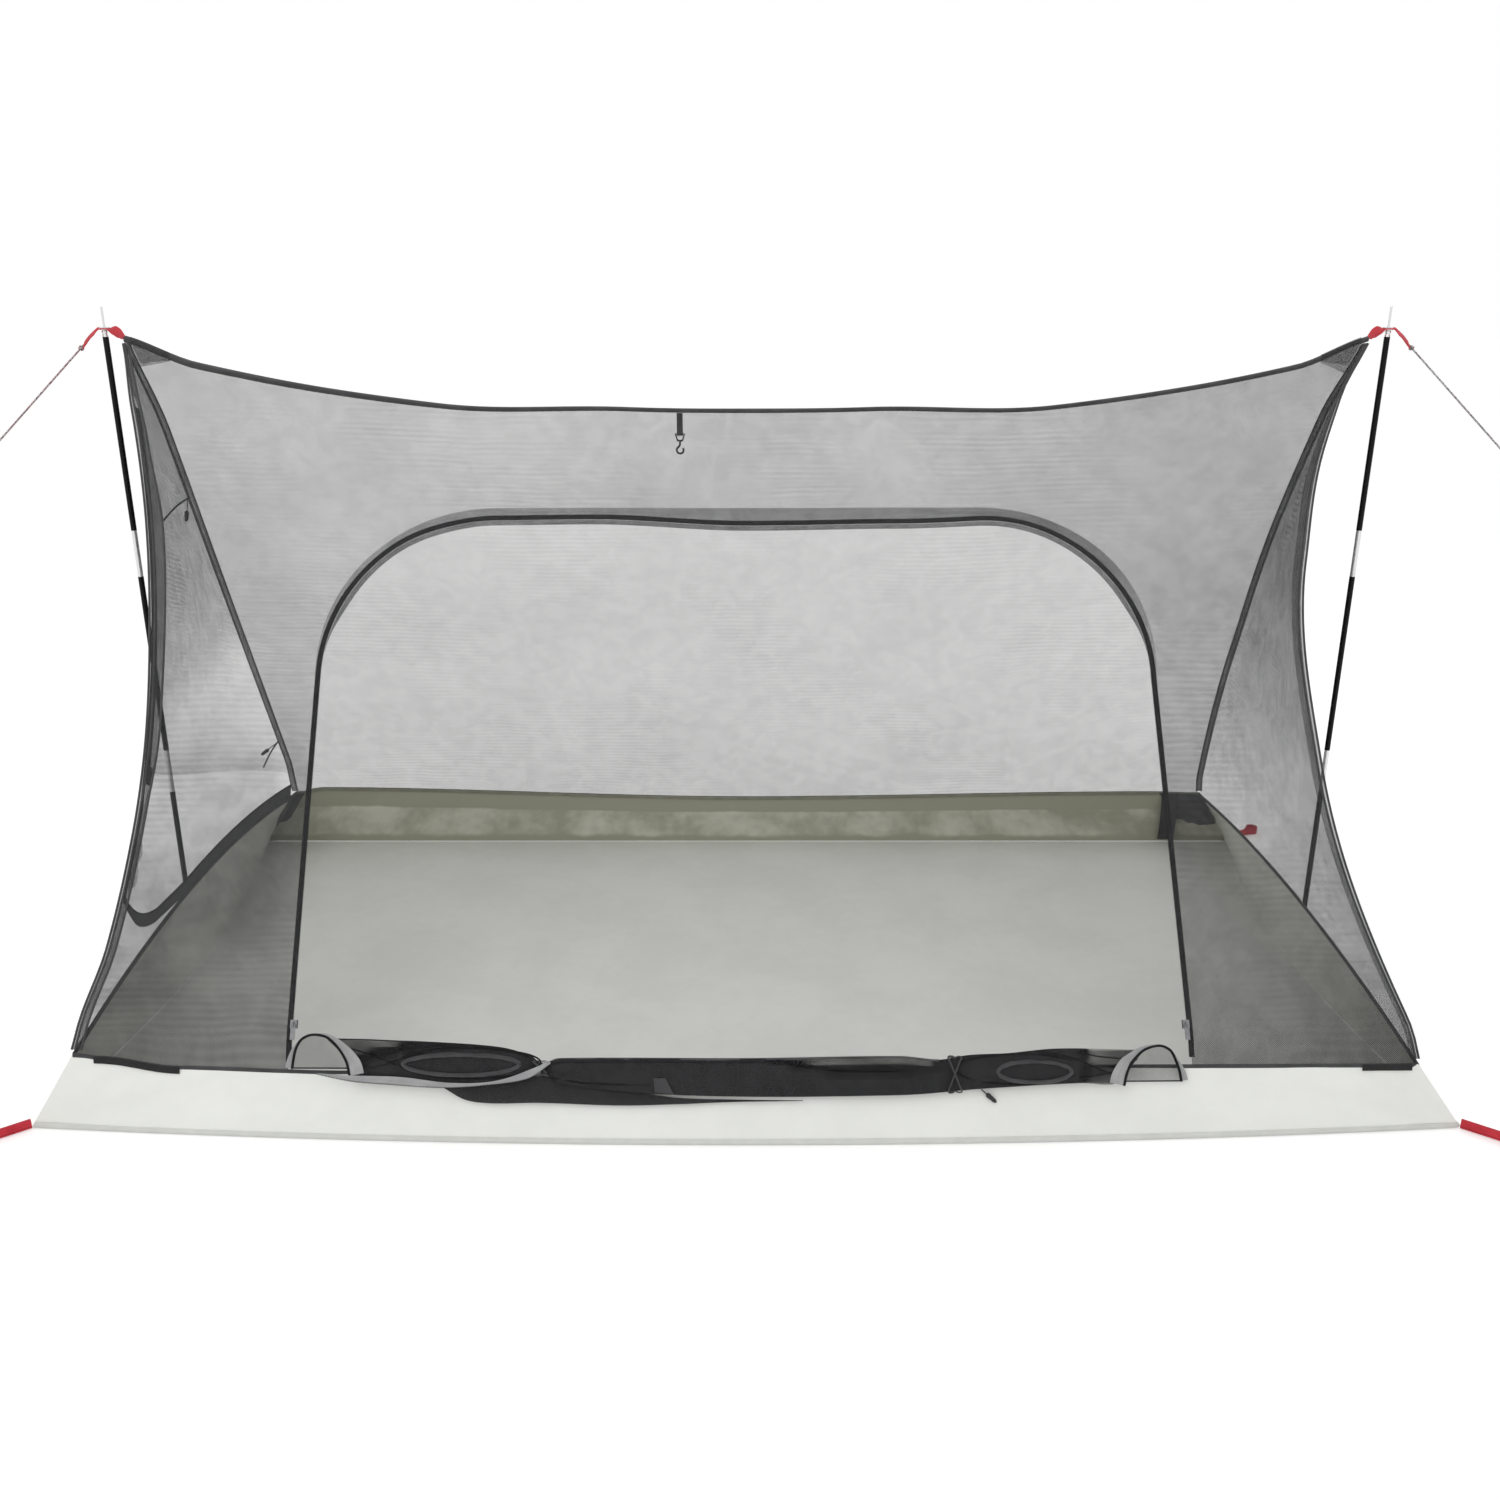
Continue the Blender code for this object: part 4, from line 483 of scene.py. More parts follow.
def wovenTape(name, colour, deep, pitch=0.0016, rows=(), thread=None, roughness=0.8, sheen=0.15):
    # Ribbed tape with its rows of stitching, measured across from its edge.
    material, tree, sockets = startFinish(name, roughness, Specular_IOR_Level=0.25, Sheen_Weight=sheen)
    spot = flatSpot(tree)
    weave = usePattern(tree, threadWeave, Vector=spot, Pitch=pitch)
    tone = sums(tree, "MULTIPLY_ADD", weave["Height"], 0.25, weave["Shade"])
    shade = mixed(tree, ranged(tree, tone, 0.3, 0.75), (*deep, 1), (*colour, 1))
    height = weave["Height"]
    for row in rows:
        stitch = usePattern(tree, stitchRow, Vector=spot, Row=row)["Stitch"]
        shade = mixed(tree, stitch, shade, (*(thread or deep), 1))
        height = sums(tree, "ADD", height, sums(tree, "MULTIPLY", stitch, 2.0))
    tinted(tree, sockets, shade)
    bumped(tree, sockets, height, 0.5, 0.0005)
    return material


def hardSurface(name, colour, worn, roughness, change, relief, stretch, scale, **fixed):
    # change is how far the roughness goes below and above its mean with the grain.
    material, tree, sockets = startFinish(name, roughness, **fixed)
    wear = usePattern(tree, surfaceWear, Vector=solidSpot(tree, stretch), Scale=scale)
    tinted(tree, sockets, mixed(tree, wear["Wear"], (*colour, 1), (*worn, 1)))
    low, high = roughness - change[0], roughness + change[1]
    tree.links.new(ranged(tree, wear["Grain"], 0.3, 0.7, low, high), sockets["Roughness"])
    bumped(tree, sockets, wear["Grain"], relief, 0.0002)
    return material


def metal(name, colour, worn, roughness, stretch=(1.0, 1.0, 1.0), scale=60.0):
    return hardSurface(name, colour, worn, roughness, (0.07, 0.12), 0.12, stretch, scale, Metallic=1.0)


def hardCoat(name, colour, worn, roughness, stretch=(1.0, 1.0, 1.0), scale=90.0, gloss=0.35):
    fixed = {"Specular_IOR_Level": gloss}
    return hardSurface(name, colour, worn, roughness, (0.08, 0.10), 0.10, stretch, scale, **fixed)


def fleckedCord(name, stops, scale):
    # Braided cord: each strand's colour changes along it in short flecks.
    material, tree, sockets = startFinish(name, 0.8, Specular_IOR_Level=0.25, Sheen_Weight=0.2)
    plugs = {"Vector": flatSpot(tree), "Rotation": (0, 0, 0.7), "Scale": scale}
    spot = addNode(tree, "ShaderNodeMapping", plugs)
    cells = addNode(tree, "ShaderNodeTexVoronoi", {"Vector": spot.outputs[0], "Scale": 1.0})
    pick = addNode(tree, "ShaderNodeSeparateColor", {0: cells.outputs["Color"]}).outputs[0]
    ramp = addNode(tree, "ShaderNodeValToRGB", {0: pick})
    ramp.color_ramp.interpolation = "CONSTANT"
    for at, colour in stops:
        mark = ramp.color_ramp.elements[0] if at == 0 else ramp.color_ramp.elements.new(at)
        mark.color = (*colour, 1)
    ramp.color_ramp.elements.remove(ramp.color_ramp.elements[len(ramp.color_ramp.elements) - 1])
    tinted(tree, sockets, ramp.outputs[0])
    bumped(tree, sockets, cells.outputs["Distance"], 0.6, 0.0005)
    return material


outerCloth = coatedCloth("outerCloth", (0.90, 0.91, 0.87), (0.86, 0.87, 0.83))
# The inner side of the tub cloth, painted darker than the outer cloth as the shade inside the tent.
innerCloth = coatedCloth("innerCloth", (0.60, 0.605, 0.51), (0.36, 0.36, 0.285), 0.55, hem=0.088)
# The inner side of the end walls: the same cloth painted a little darker than the outer side, as shade
# inside the tent.
endCloth = coatedCloth("endCloth", (0.80, 0.80, 0.75), (0.70, 0.70, 0.64), 0.55)
floorCloth = coatedCloth("floorCloth", (0.745, 0.75, 0.715), (0.70, 0.705, 0.67), 0.55)
blackNet = netting("blackNet", (0.060, 0.060, 0.063), lines=0.09)
backNet = netting("backNet", (0.060, 0.060, 0.063), lines=0.05, clouds=0.05)
bundleNet = netting("bundleNet", (0.034, 0.034, 0.036), lines=0.0, contrast=0.3)
darkTape = wovenTape("darkTape", (0.085, 0.085, 0.088), (0.050, 0.050, 0.053), rows=(0.0018,))
seamTape = wovenTape("seamTape", (0.115, 0.115, 0.118), (0.070, 0.070, 0.073), rows=(0.0018,))
zipTape = wovenTape("zipTape", (0.022, 0.022, 0.024), (0.012, 0.012, 0.013), 0.0012, rows=(0.0055,))
paleTape = wovenTape("paleTape", (0.50, 0.50, 0.505), (0.36, 0.36, 0.37), 0.0013, rows=(0.0105,))
clothSeam = wovenTape(
    "clothSeam", (0.86, 0.87, 0.83), (0.76, 0.77, 0.73), 0.0011, rows=(0.0022, 0.0062), roughness=0.6
)
hemTape = wovenTape(
    "hemTape", (0.30, 0.30, 0.24), (0.22, 0.22, 0.17), 0.0011, rows=(0.0022,), roughness=0.6
)
redTape = wovenTape(
    "redTape",
    (0.76, 0.050, 0.075),
    (0.50, 0.022, 0.036),
    0.0021,
    rows=(0.003,),
    thread=(0.26, 0.010, 0.016),
)
# Dark cloth for the painted shade in the tub's back corners.
patchCloth = wovenTape("patchCloth", (0.15, 0.15, 0.155), (0.085, 0.085, 0.09), 0.0012, rows=(0.004,))
nylonCoil = hardCoat("nylonCoil", (0.004, 0.004, 0.005), (0.012, 0.012, 0.013), 0.42, gloss=0.15)
brightSteel = metal("brightSteel", (0.74, 0.74, 0.75), (0.52, 0.52, 0.53), 0.26, (1.0, 1.0, 0.06))
sliderSteel = metal("sliderSteel", (0.24, 0.24, 0.25), (0.12, 0.12, 0.13), 0.40, scale=120.0)
blackPaint = hardCoat(
    "blackPaint", (0.003, 0.003, 0.004), (0.010, 0.010, 0.011), 0.40, (1.0, 1.0, 0.15), 45.0, gloss=0.16
)
hardPlastic = hardCoat("hardPlastic", (0.024, 0.024, 0.026), (0.045, 0.045, 0.047), 0.42)
redCord = fleckedCord(
    "redCord",
    [(0, (0.30, 0.05, 0.07)), (0.24, (0.44, 0.36, 0.37)), (0.52, (0.60, 0.56, 0.57))]
    + [(0.80, (0.07, 0.05, 0.06))],
    (420.0, 900.0, 1.0),
)
greyCord = fleckedCord(
    "greyCord",
    [(0, (0.20, 0.12, 0.13)), (0.22, (0.46, 0.44, 0.45)), (0.55, (0.62, 0.61, 0.62))]
    + [(0.84, (0.08, 0.07, 0.08))],
    (420.0, 900.0, 1.0),
)
print("finishes are mixed")

# Ways of making a piece.


def pickOut(obj):
    bpy.ops.object.select_all(action="DESELECT")
    obj.select_set(True)
    bpy.context.view_layer.objects.active = obj


def gridSkin(name, columns, rows, spot, flat, finishes, light=None):
    # A flat grid laid over a surface. spot and flat take shares along and up. light
    # is what a net lets through: a number, or a function of the place and shares.
    bpy.ops.object.select_all(action="DESELECT")
    bpy.ops.mesh.primitive_grid_add(x_subdivisions=columns, y_subdivisions=rows, size=1)
    obj = bpy.context.object
    obj.name = obj.data.name = name
    mesh = obj.data
    shares = [(round(vertex.co.x + 0.5, 5), round(vertex.co.y + 0.5, 5)) for vertex in mesh.vertices]
    for vertex, share in zip(mesh.vertices, shares):
        vertex.co = spot(*share)
    for loop, uv in zip(mesh.loops, mesh.uv_layers.active.data):
        uv.uv = flat(*shares[loop.vertex_index])
    if light is not None:
        layer = mesh.attributes.new("cover", "FLOAT", "POINT")
        for item, vertex, share in zip(layer.data, mesh.vertices, shares):
            clear = light(vertex.co, *share) if callable(light) else light
            item.value = 1 - math.sqrt(min(0.98, max(0.02, clear)))
    for finish in finishes:
        mesh.materials.append(finish)
    return obj


def measured(lengths, width):
    # The flat pattern of a strip, from the lengths up to its steps.
    last = len(lengths) - 1
    return lambda a, u: (lengths[round(a * last)], u * width)


def thicken(obj, thickness, lined=False, angle=smoothTo, even=True):
    pickOut(obj)
    step = obj.modifiers.new("thickness", "SOLIDIFY")
    step.thickness = thickness
    step.offset = 0.0
    step.use_even_offset = even
    step.material_offset = 1 if lined else 0
    bpy.ops.object.modifier_apply(modifier=step.name)
    bpy.ops.object.shade_smooth_by_angle(angle=math.radians(angle))
    return obj


def weld(obj, capped=True):
    pickOut(obj)
    bpy.ops.object.mode_set(mode="EDIT")
    bpy.ops.mesh.select_all(action="SELECT")
    bpy.ops.mesh.remove_doubles(threshold=1e-6)
    if capped:
        bpy.ops.mesh.fill_holes(sides=0)
        bpy.ops.mesh.select_all(action="SELECT")
        bpy.ops.mesh.normals_make_consistent(inside=False)
    bpy.ops.object.mode_set(mode="OBJECT")
    bpy.ops.object.shade_smooth_by_angle(angle=math.radians(smoothTo))
    return obj


def runLengths(path):
    lengths = [0.0]
    for a, b in zip(path, path[1:]):
        lengths.append(lengths[-1] + (b - a).length)
    return lengths


def acrossPath(path):
    last = len(path) - 1
    side, pairs = None, []
    for i in range(len(path)):
        way = (path[min(i + 1, last)] - path[max(i - 1, 0)]).normalized()
        side = way.orthogonal() if side is None else side
        side = (side - way * side.dot(way)).normalized()
        pairs.append((side, way.cross(side)))
    return pairs


def roundPath(path):
    # A function for the spot at an angle and distance round a point of the path.
    pairs = acrossPath(path)

    def spot(i, angle, reach):
        side, up = pairs[i]
        return path[i] + side * (reach * math.cos(angle)) + up * (reach * math.sin(angle))

    return spot


def tubeSkin(name, path, radius, around, finishes, ring=False):
    # radius is a number, or takes a point's number and the angle round the path.
    reach = radius if callable(radius) else lambda i, angle: radius
    about, last = roundPath(path), len(path) - 1

    def spot(along, up):
        i, angle = round(along * last), fullTurn * up
        return about(i, angle, reach(i % last if ring else i, angle))

    flat = measured(runLengths(path), fullTurn * reach(0, 0.0))
    return weld(gridSkin(name, last, around, spot, flat, finishes), not ring)


def strip(name, lines, width, thickness, finishes, light=None):
    # lines holds, for each step along, the points across the strip.
    last, rows = len(lines) - 1, len(lines[0]) - 1
    flat = measured(runLengths([line[0] for line in lines]), width)
    obj = gridSkin(
        name, last, rows, lambda a, u: lines[round(a * last)][round(u * rows)], flat, finishes, light
    )
    return thicken(obj, thickness)


def loopOutline(neck, centre, eye, half, opening, legSteps, eyeSteps):
    # Out along one leg, round the eye and back: distance from the root, and across.
    outline = [(neck * t, -half) for t in spread(legSteps)]
    for t in spread(eyeSteps):
        angle = math.radians(lerp(-opening, opening, t))
        outline.append((centre + eye * math.cos(angle), eye * math.sin(angle)))
    outline += [(neck * (1 - t), half) for t in spread(legSteps)]
    return outline + outline[:1]


zipper = {"pitch": 0.0021, "wire": 0.00038, "lean": 74, "smoothTo": 60}


def coil(name, path, radius, node):
    # One turn of nylon, repeated along a line and bent to it.
    data = bpy.data.curves.new(name + "Line", "CURVE")
    data.dimensions = "3D"
    spline = data.splines.new("POLY")
    spline.points.add(len(path) - 1)
    for point, spot in zip(spline.points, path):
        point.co = (*spot, 1)
    line = bpy.data.objects.new(name + "Line", data)
    bpy.context.scene.collection.objects.link(line)
    bpy.ops.object.select_all(action="DESELECT")
    bpy.ops.mesh.primitive_torus_add(
        major_radius=radius - zipper["wire"],
        minor_radius=zipper["wire"],
        major_segments=8,
        minor_segments=4,
        rotation=(0, math.radians(zipper["lean"]), 0),
    )
    obj = bpy.context.object
    obj.name = obj.data.name = name
    bpy.ops.object.transform_apply(location=False, rotation=True, scale=True)
    turns = obj.modifiers.new("turns", "ARRAY")
    turns.fit_type, turns.curve = "FIT_CURVE", line
    turns.use_relative_offset, turns.use_constant_offset = False, True
    turns.constant_offset_displace = (zipper["pitch"], 0, 0)
    follow = obj.modifiers.new("follow", "CURVE")
    follow.object = line
    for step in ("turns", "follow"):
        bpy.ops.object.modifier_apply(modifier=step)
    bpy.data.objects.remove(line)
    obj.data.materials.append(nylonCoil)
    bpy.ops.object.shade_smooth_by_angle(angle=math.radians(zipper["smoothTo"]))
    return settle(obj, "black_tape", node)


def settle(obj, slot, *nodes):
    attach(obj, "tent")
    if nodes:
        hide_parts(*nodes)
    return obj


# Guylines: tied to the red straps, held taut, and knotted just outside the view.
guy = {
    "length": 0.310,
    "diameter": 0.0030,
    "slope": 43.0,
    "start": (1.09322, 1.12893),
    "steps": 124,
    "strands": 6,
    "ridge": 0.07,
    "lay": 150.0,
    "knotSize": 0.00125,
}


def knot(name, centre, way, size, wire, finish):
    # An overhand knot pulled small, with its two ends inside the cord.
    turn = Vector((0, 0, 1)).rotation_difference(way)
    path = []
    for t in spread(56):
        a = lerp(0.35, fullTurn - 0.35, t)
        x, y = math.sin(a) + 2 * math.sin(2 * a), math.cos(a) - 2 * math.cos(2 * a)
        path.append(centre + turn @ (Vector((x, y, -1.5 * math.sin(3 * a))) * size))
    return tubeSkin(name, path, wire, 8, [finish])


def makeGuyline(side):
    word = sideWords[side]
    finish = redCord if side == left else greyCord
    slope = math.radians(guy["slope"])
    way = Vector((side * math.cos(slope), 0, -math.sin(slope)))
    start = Vector((side * guy["start"][0], 0, guy["start"][1]))
    path = [start + way * (guy["length"] * t) for t in spread(guy["steps"])]
    half = guy["diameter"] / 2

    def radius(i, angle):
        lay = guy["lay"] * guy["length"] * i / guy["steps"]
        weave = math.cos(guy["strands"] * angle + lay) + math.cos(guy["strands"] * angle - lay)
        return half * (1 + guy["ridge"] * weave / 2)

    cord = tubeSkin(f"guyline{word.title()}", path, radius, 16, [finish])
    settle(cord, "flecked_cord", f"guyline_{word}")
    ends = []
    for name, t in (("Hitch", 0.022), ("Knot", 0.985)):
        centre = start + way * (guy["length"] * t)
        ends.append(knot(f"guy{name}{word.title()}", centre, way, guy["knotSize"], half * 0.95, finish))
        settle(ends[-1], "flecked_cord")


for side in (left, right):
    makeGuyline(side)
print("guylines are tied")

# Tub: floor, walls, the seam at their foot and the tape along their top.
tub = {
    "clothThickness": 0.0012,
    "floorThickness": 0.0015,
    "floorColumns": 110,
    "floorRows": 58,
    "floorCreases": [(0.0030, 0.21, 2.0), (0.0011, 0.07, 4.0)],
    "wallRows": 9,
    "billow": 0.0026,
    "billowWaves": [(0.5, 0.16, 3.0), (0.22, 0.05, 5.0)],
    "fanDepth": 0.0062,
    "fanReach": 0.42,
    "fanFolds": 15.0,
    "seamTop": 0.0085,
    "tapeDrop": {"front": 0.0042, "right": 0.0042, "back": 0.0060, "left": 0.0060},
    "tapeFold": [(0.0015, -1.0), (0.0018, -0.5), (0.0016, 0.0), (0.0, 0.30), (-0.0016, 0.0)]
    + [(-0.0018, -0.5), (-0.0015, -1.0)],
    "tapeSlack": 0.0005,
    "tapeThickness": 0.0007,
}
wallRun = [
    (kind, 1 - t if backwards else t)
    for kind, steps, backwards in (("front", 120, 0), ("right", 54, 0), ("back", 100, 1), ("left", 54, 1))
    for t in spread(steps)[:-1]
]
wallRun.append(wallRun[0])


outward = {
    "front": Vector((0, -1, 0)),
    "right": Vector((1, 0, 0)),
    "back": Vector((0, 1, 0)),
    "left": Vector((-1, 0, 0)),
}


def wallRipple(kind, t, h):
    # Creases fan out from the pegged corners, and the cloth bellies a little.
    length = 2.2 if kind in ("front", "back") else 1.1
    total = 0.0
    for end in (t, 1 - t):
        away, up = end * length, h * tent["wallHeight"]
        reach = math.hypot(away, up)
        fan = math.sin(tub["fanFolds"] * math.atan2(up, away + 0.012))
        total += fan * math.exp(-reach / tub["fanReach"]) * smooth(reach / 0.06)
    belly = math.sin(math.pi * h) * smooth(min(t, 1 - t) / 0.03)
    wave = mottle((t * length, 0, h * 0.12), tub["billowWaves"])
    return belly * (tub["billow"] * (0.6 + wave) + tub["fanDepth"] * 0.5 * total)


def wallSpot(kind, t, h):
    low = floorEdge(kind, t)
    low.z += tub["floorThickness"] + gap + tub["clothThickness"] / 2
    return low.lerp(rimEdge(kind, t), h) + outward[kind] * wallRipple(kind, t, h)


def wallSkin(name, rows, spot, width, finishes, pick=lambda centre: 0):
    # A strip all round the wall, closed on itself. pick gives a face its finish.
    count = len(wallRun) - 1
    flat = measured(runLengths([floorEdge(*step) for step in wallRun]), width)
    skin = gridSkin(name, count, rows, lambda a, u: spot(*wallRun[round(a * count)], u), flat, finishes)
    for face in skin.data.polygons:
        face.material_index = pick(face.center)
    return weld(skin, capped=False)


rimTab = {
    "ends": {"Left": (-0.992, -0.862), "Right": (0.938, 1.014)},
    "width": {"Left": 0.011, "Right": 0.010},
    "above": 0.002,
    "lift": 0.0034,
    "crumple": 0.0006,
    "thickness": 0.0012,
}
# A dark piece in each back corner that paints the shade there.
cornerShadePatch = {
    "along": {left: 0.020, right: 0.088},
    "around": {left: 0.042, right: 0.030},
    "drop": 0.070,
    "inside": 0.0026,
    "wave": 0.0012,
    "thickness": 0.0010,
}


def makeRimTabs():
    # Short lengths of black webbing, sewn outside the rim near its corners.
    for word, (start, end) in rimTab["ends"].items():
        width, lines = rimTab["width"][word], []
        for t in spread(30):
            x = lerp(start, end, t)
            top = sidePoint(front, x, 0.0).z + rimTab["above"]
            row = []
            for z in (top - width * k for k in spread(4)):
                lift = rimTab["lift"] + rimTab["crumple"] * ripple((x, z, 0), 0.02, 1.0)
                row.append(Vector((x, wallOutside(x, z) - lift, z)))
            lines.append(row)
        settle(strip(f"rimTab{word}", lines, width, rimTab["thickness"], [zipTape]), "black_tape")


def makeCornerShadePatch(side):
    # A dark piece inside the wall at each back corner: painted shade where the tub's corner is in shadow.
    across, around = cornerShadePatch["along"][side], cornerShadePatch["around"][side]
    reach, inside, drop = across + around, cornerShadePatch["inside"], cornerShadePatch["drop"]
    turnAt = across / reach
    kind = sideWords[side]

    def spot(along, up):
        wave = cornerShadePatch["wave"] * ripple((along * 0.16, up * 0.07, 0), 0.03, side)
        ragged = 0.9 + 0.25 * math.sin(math.pi * along) + 0.10 * ripple((along * reach, 0, 0), 0.012, 3.0)
        h = 1.0 - up * ragged * drop / tent["wallHeight"]
        if along <= turnAt:
            x = side * (seamPoint(side, back, 0.0).x * side - inside - across * (1 - along / turnAt))
            t = (x + tent["halfRimLength"]) / (2 * tent["halfRimLength"])
            return wallSpot("back", min(1.0, max(0.0, t)), h) + Vector((0, wave - inside, 0))
        t = 1 - (along - turnAt) / (1 - turnAt) * around / 1.09
        return wallSpot(kind, t, h) + Vector((wave - side * inside, 0, 0))

    flat = measured([reach * t for t in spread(40)], drop)
    piece = gridSkin(f"cornerPatch{kind.title()}", 40, 12, spot, flat, [patchCloth])
    settle(thicken(piece, cornerShadePatch["thickness"], even=False), "black_tape")


def makeFloor():
    def spot(along, up):
        y = lerp(-tent["halfFloorWidth"], tent["halfFloorWidth"], up)
        x = lerp(-1, 1, along) * endDraw(y)
        y = lerp(-tent["halfFloorWidth"] - frontBow(x), tent["halfFloorWidth"], up)
        crease = sum(deep * abs(ripple((x, y, 0), *wave)) for deep, *wave in tub["floorCreases"])
        return Vector((x, y, tub["floorThickness"] / 2 + inward(along, up, 0.05) * crease))

    columns, rows = tub["floorColumns"], tub["floorRows"]
    floor = gridSkin("floorSheet", columns, rows, spot, lambda a, u: (a * 2.2, u * 1.16), [floorCloth])
    settle(thicken(floor, tub["floorThickness"]), "coated_cloth", "floor_sheet")


def makeWall():
    # The ends' inner side has its own finish, with less painted shade than the long walls' inner side;
    # thicken gives the inner side the next finish.
    cloths = [outerCloth, innerCloth, outerCloth, endCloth]
    endReach = tent["halfRimWidth"] - 0.002
    isEnd = lambda centre: 2 if abs(centre.y) < endReach else 0
    wall = wallSkin("tubWall", tub["wallRows"], wallSpot, 0.13, cloths, isEnd)
    settle(thicken(wall, tub["clothThickness"], lined=True), "coated_cloth", "tub_wall")

    def seamSpot(kind, t, up):
        place = wallSpot(kind, t, up * tub["seamTop"] / tent["wallHeight"])
        return place + outward[kind] * (0.0014 + 0.0004 * math.sin(math.pi * up))

    seam = wallSkin("wallFootSeam", 3, seamSpot, tub["seamTop"], [clothSeam])
    settle(thicken(seam, 0.0009), "coated_cloth")


def makeRimBinding():
    # The tape is folded over the wall's top edge: outer leg, fold, inner leg.
    section = tub["tapeFold"]

    def spot(kind, t, up):
        off, z = section[round(up * 6)]
        off += tub["tapeSlack"] * ripple((t * 20, z, 0), 1.0, 7.0)
        return rimEdge(kind, t) + outward[kind] * off + Vector((0, 0, z * tub["tapeDrop"][kind]))

    isBack = lambda centre: 1 if centre.y > tent["halfRimWidth"] - 0.004 else 0
    tape = wallSkin("rimBinding", 6, spot, 0.020, [darkTape, hemTape], isBack)
    settle(thicken(tape, tub["tapeThickness"]), "black_tape", "rim_binding")


def makeTub():
    makeFloor()
    makeWall()
    makeRimBinding()
    makeRimTabs()
    for side in (left, right):
        makeCornerShadePatch(side)


makeTub()
print("tub is sewn")

# Net panels. Each gets the share of light that it lets through, by place.
panels = {
    "thickness": 0.0009,
    "tuck": 0.0026,
    "frontGrid": (5 * 30, 20),
    "backGrid": (96, 44),
    "rightGrid": (40, 48),
    "leftGrid": (40, 52),
    "frontWave": 0.0022,
    "backWave": 0.004,
    "endWave": 0.003,
    "backLight": [(0.12, 0.49), (0.55, 0.53), (0.85, 0.58), (1.02, 0.62)],
    "backMottle": [(0.03, 0.20, 6.0), (0.015, 0.06, 1.0)],
    "frontLight": [(0.12, 0.40), (0.30, 0.48), (0.48, 0.60), (0.70, 0.70), (0.95, 0.78), (1.13, 0.74)],
    "frontMottle": [(0.05, 0.16, 8.0), (0.03, 0.05, 2.0)],
    # How much, where along the front and how wide, and the fades up its height.
    "glows": [(0.04, (-0.55, 0.35), (0.70, 0.90)), (0.09, (-0.68, 0.12), (0.45, 0.55), (0.95, 0.80))],
    # How much, the fade along the front, and the fades up its height.
    "shades": [
        (0.14, (0.10, 1.00), (0.40, 0.70)),
        (0.20, (-0.66, -0.78), (0.22, 0.32), (0.60, 0.48)),
        (0.20, (-0.85, -0.91), (0.15, 0.21), (0.32, 0.22)),
        (0.07, (0.72, 0.92), (0.30, 0.20)),
    ],
    "endLight": {
        left: [(0.12, 0.80), (0.50, 0.68), (0.62, 0.46), (0.75, 0.34), (0.90, 0.27), (1.13, 0.22)],
        right: [(0.12, 0.62), (0.40, 0.50), (0.62, 0.35), (0.80, 0.21), (1.13, 0.16)],
    },
    "endMottle": [(0.05, 0.15, 4.0), (0.03, 0.045, 7.0)],
}
door = {
    "leftSill": 0.691,
    "rightSill": 0.673,
    "leftLean": 0.011,
    "rightLean": 0.026,
    "top": 0.861,
    "radius": 0.270,
    "foot": 0.009,
    "tapeWidth": 0.0080,
    "tapeThickness": 0.0007,
    "coilRadius": 0.0013,
    "coilOffset": 0.0022,
    "turnShare": 0.62,
    "sag": [(-0.58, 0.0), (-0.47, 0.0045), (-0.245, 0.0025), (0.0, 0.0130), (0.245, 0.0100), (0.50, 0.0)],
    "sagAbove": (0.60, 0.75),
    "steps": 200,
    "hemLift": 0.0016,
    "hemThickness": 0.0008,
    "hemWide": [(0.0, 0.007), (0.9, 0.008), (1.5, 0.015), (2.3, 0.0165), (2.9, 0.017), (3.5, 0.022)]
    + [(4.1, 0.008), (5.0, 0.007)],
    "hemLight": [(0.0, 0.62), (0.8, 0.80), (1.4, 0.50), (2.5, 0.44), (3.4, 0.34), (4.1, 0.80)]
    + [(5.0, 0.62)],
    "lipRun": (1.1, 3.9),
    "lipWidth": 0.0075,
    "lipLeast": 0.0004,
    "lipGap": 0.0010,
    "lipLift": -0.0005,
    "lipThickness": 0.0006,
    "lipLight": 0.25,
}


def doorLine(t, offset):
    # Up the left leg, over the top and down the right leg: t runs from 0 to 5.
    spring, radius = door["top"] - door["radius"], door["radius"] + offset
    leftTop = -door["leftSill"] + door["leftLean"]
    rightTop = door["rightSill"] - door["rightLean"]
    leftCentre, rightCentre = leftTop + door["radius"], rightTop - door["radius"]
    part = min(4, int(t))
    t -= part
    if part == 0:
        return lerp(-door["leftSill"], leftTop, t) - offset, lerp(door["foot"], spring, t)
    if part == 1:
        angle = math.pi * (1 - t / 2)
        return leftCentre + radius * math.cos(angle), spring + radius * math.sin(angle)
    if part == 2:
        return lerp(leftCentre, rightCentre, t), door["top"] + offset
    if part == 3:
        angle = math.pi / 2 * (1 - t)
        return rightCentre + radius * math.cos(angle), spring + radius * math.sin(angle)
    return lerp(rightTop, door["rightSill"], t) + offset, lerp(spring, door["foot"], t)


def sagged(x, s):
    return s - marked(door["sag"], x) * faded(s, *door["sagAbove"])


def doorSpot(x, s, lift=0.0):
    return sideLifted(front, x, sagged(x, s) / slopeLength(x), lift)


def panelShares():
    low = 0.001 / (ridgeHeight(0.0) - tent["wallHeight"])
    return low, 1 - 0.003 / slopeLength(0.0)


def panelX(face, v):
    return seamX(left, face, v) + panels["tuck"], seamX(right, face, v) - panels["tuck"]


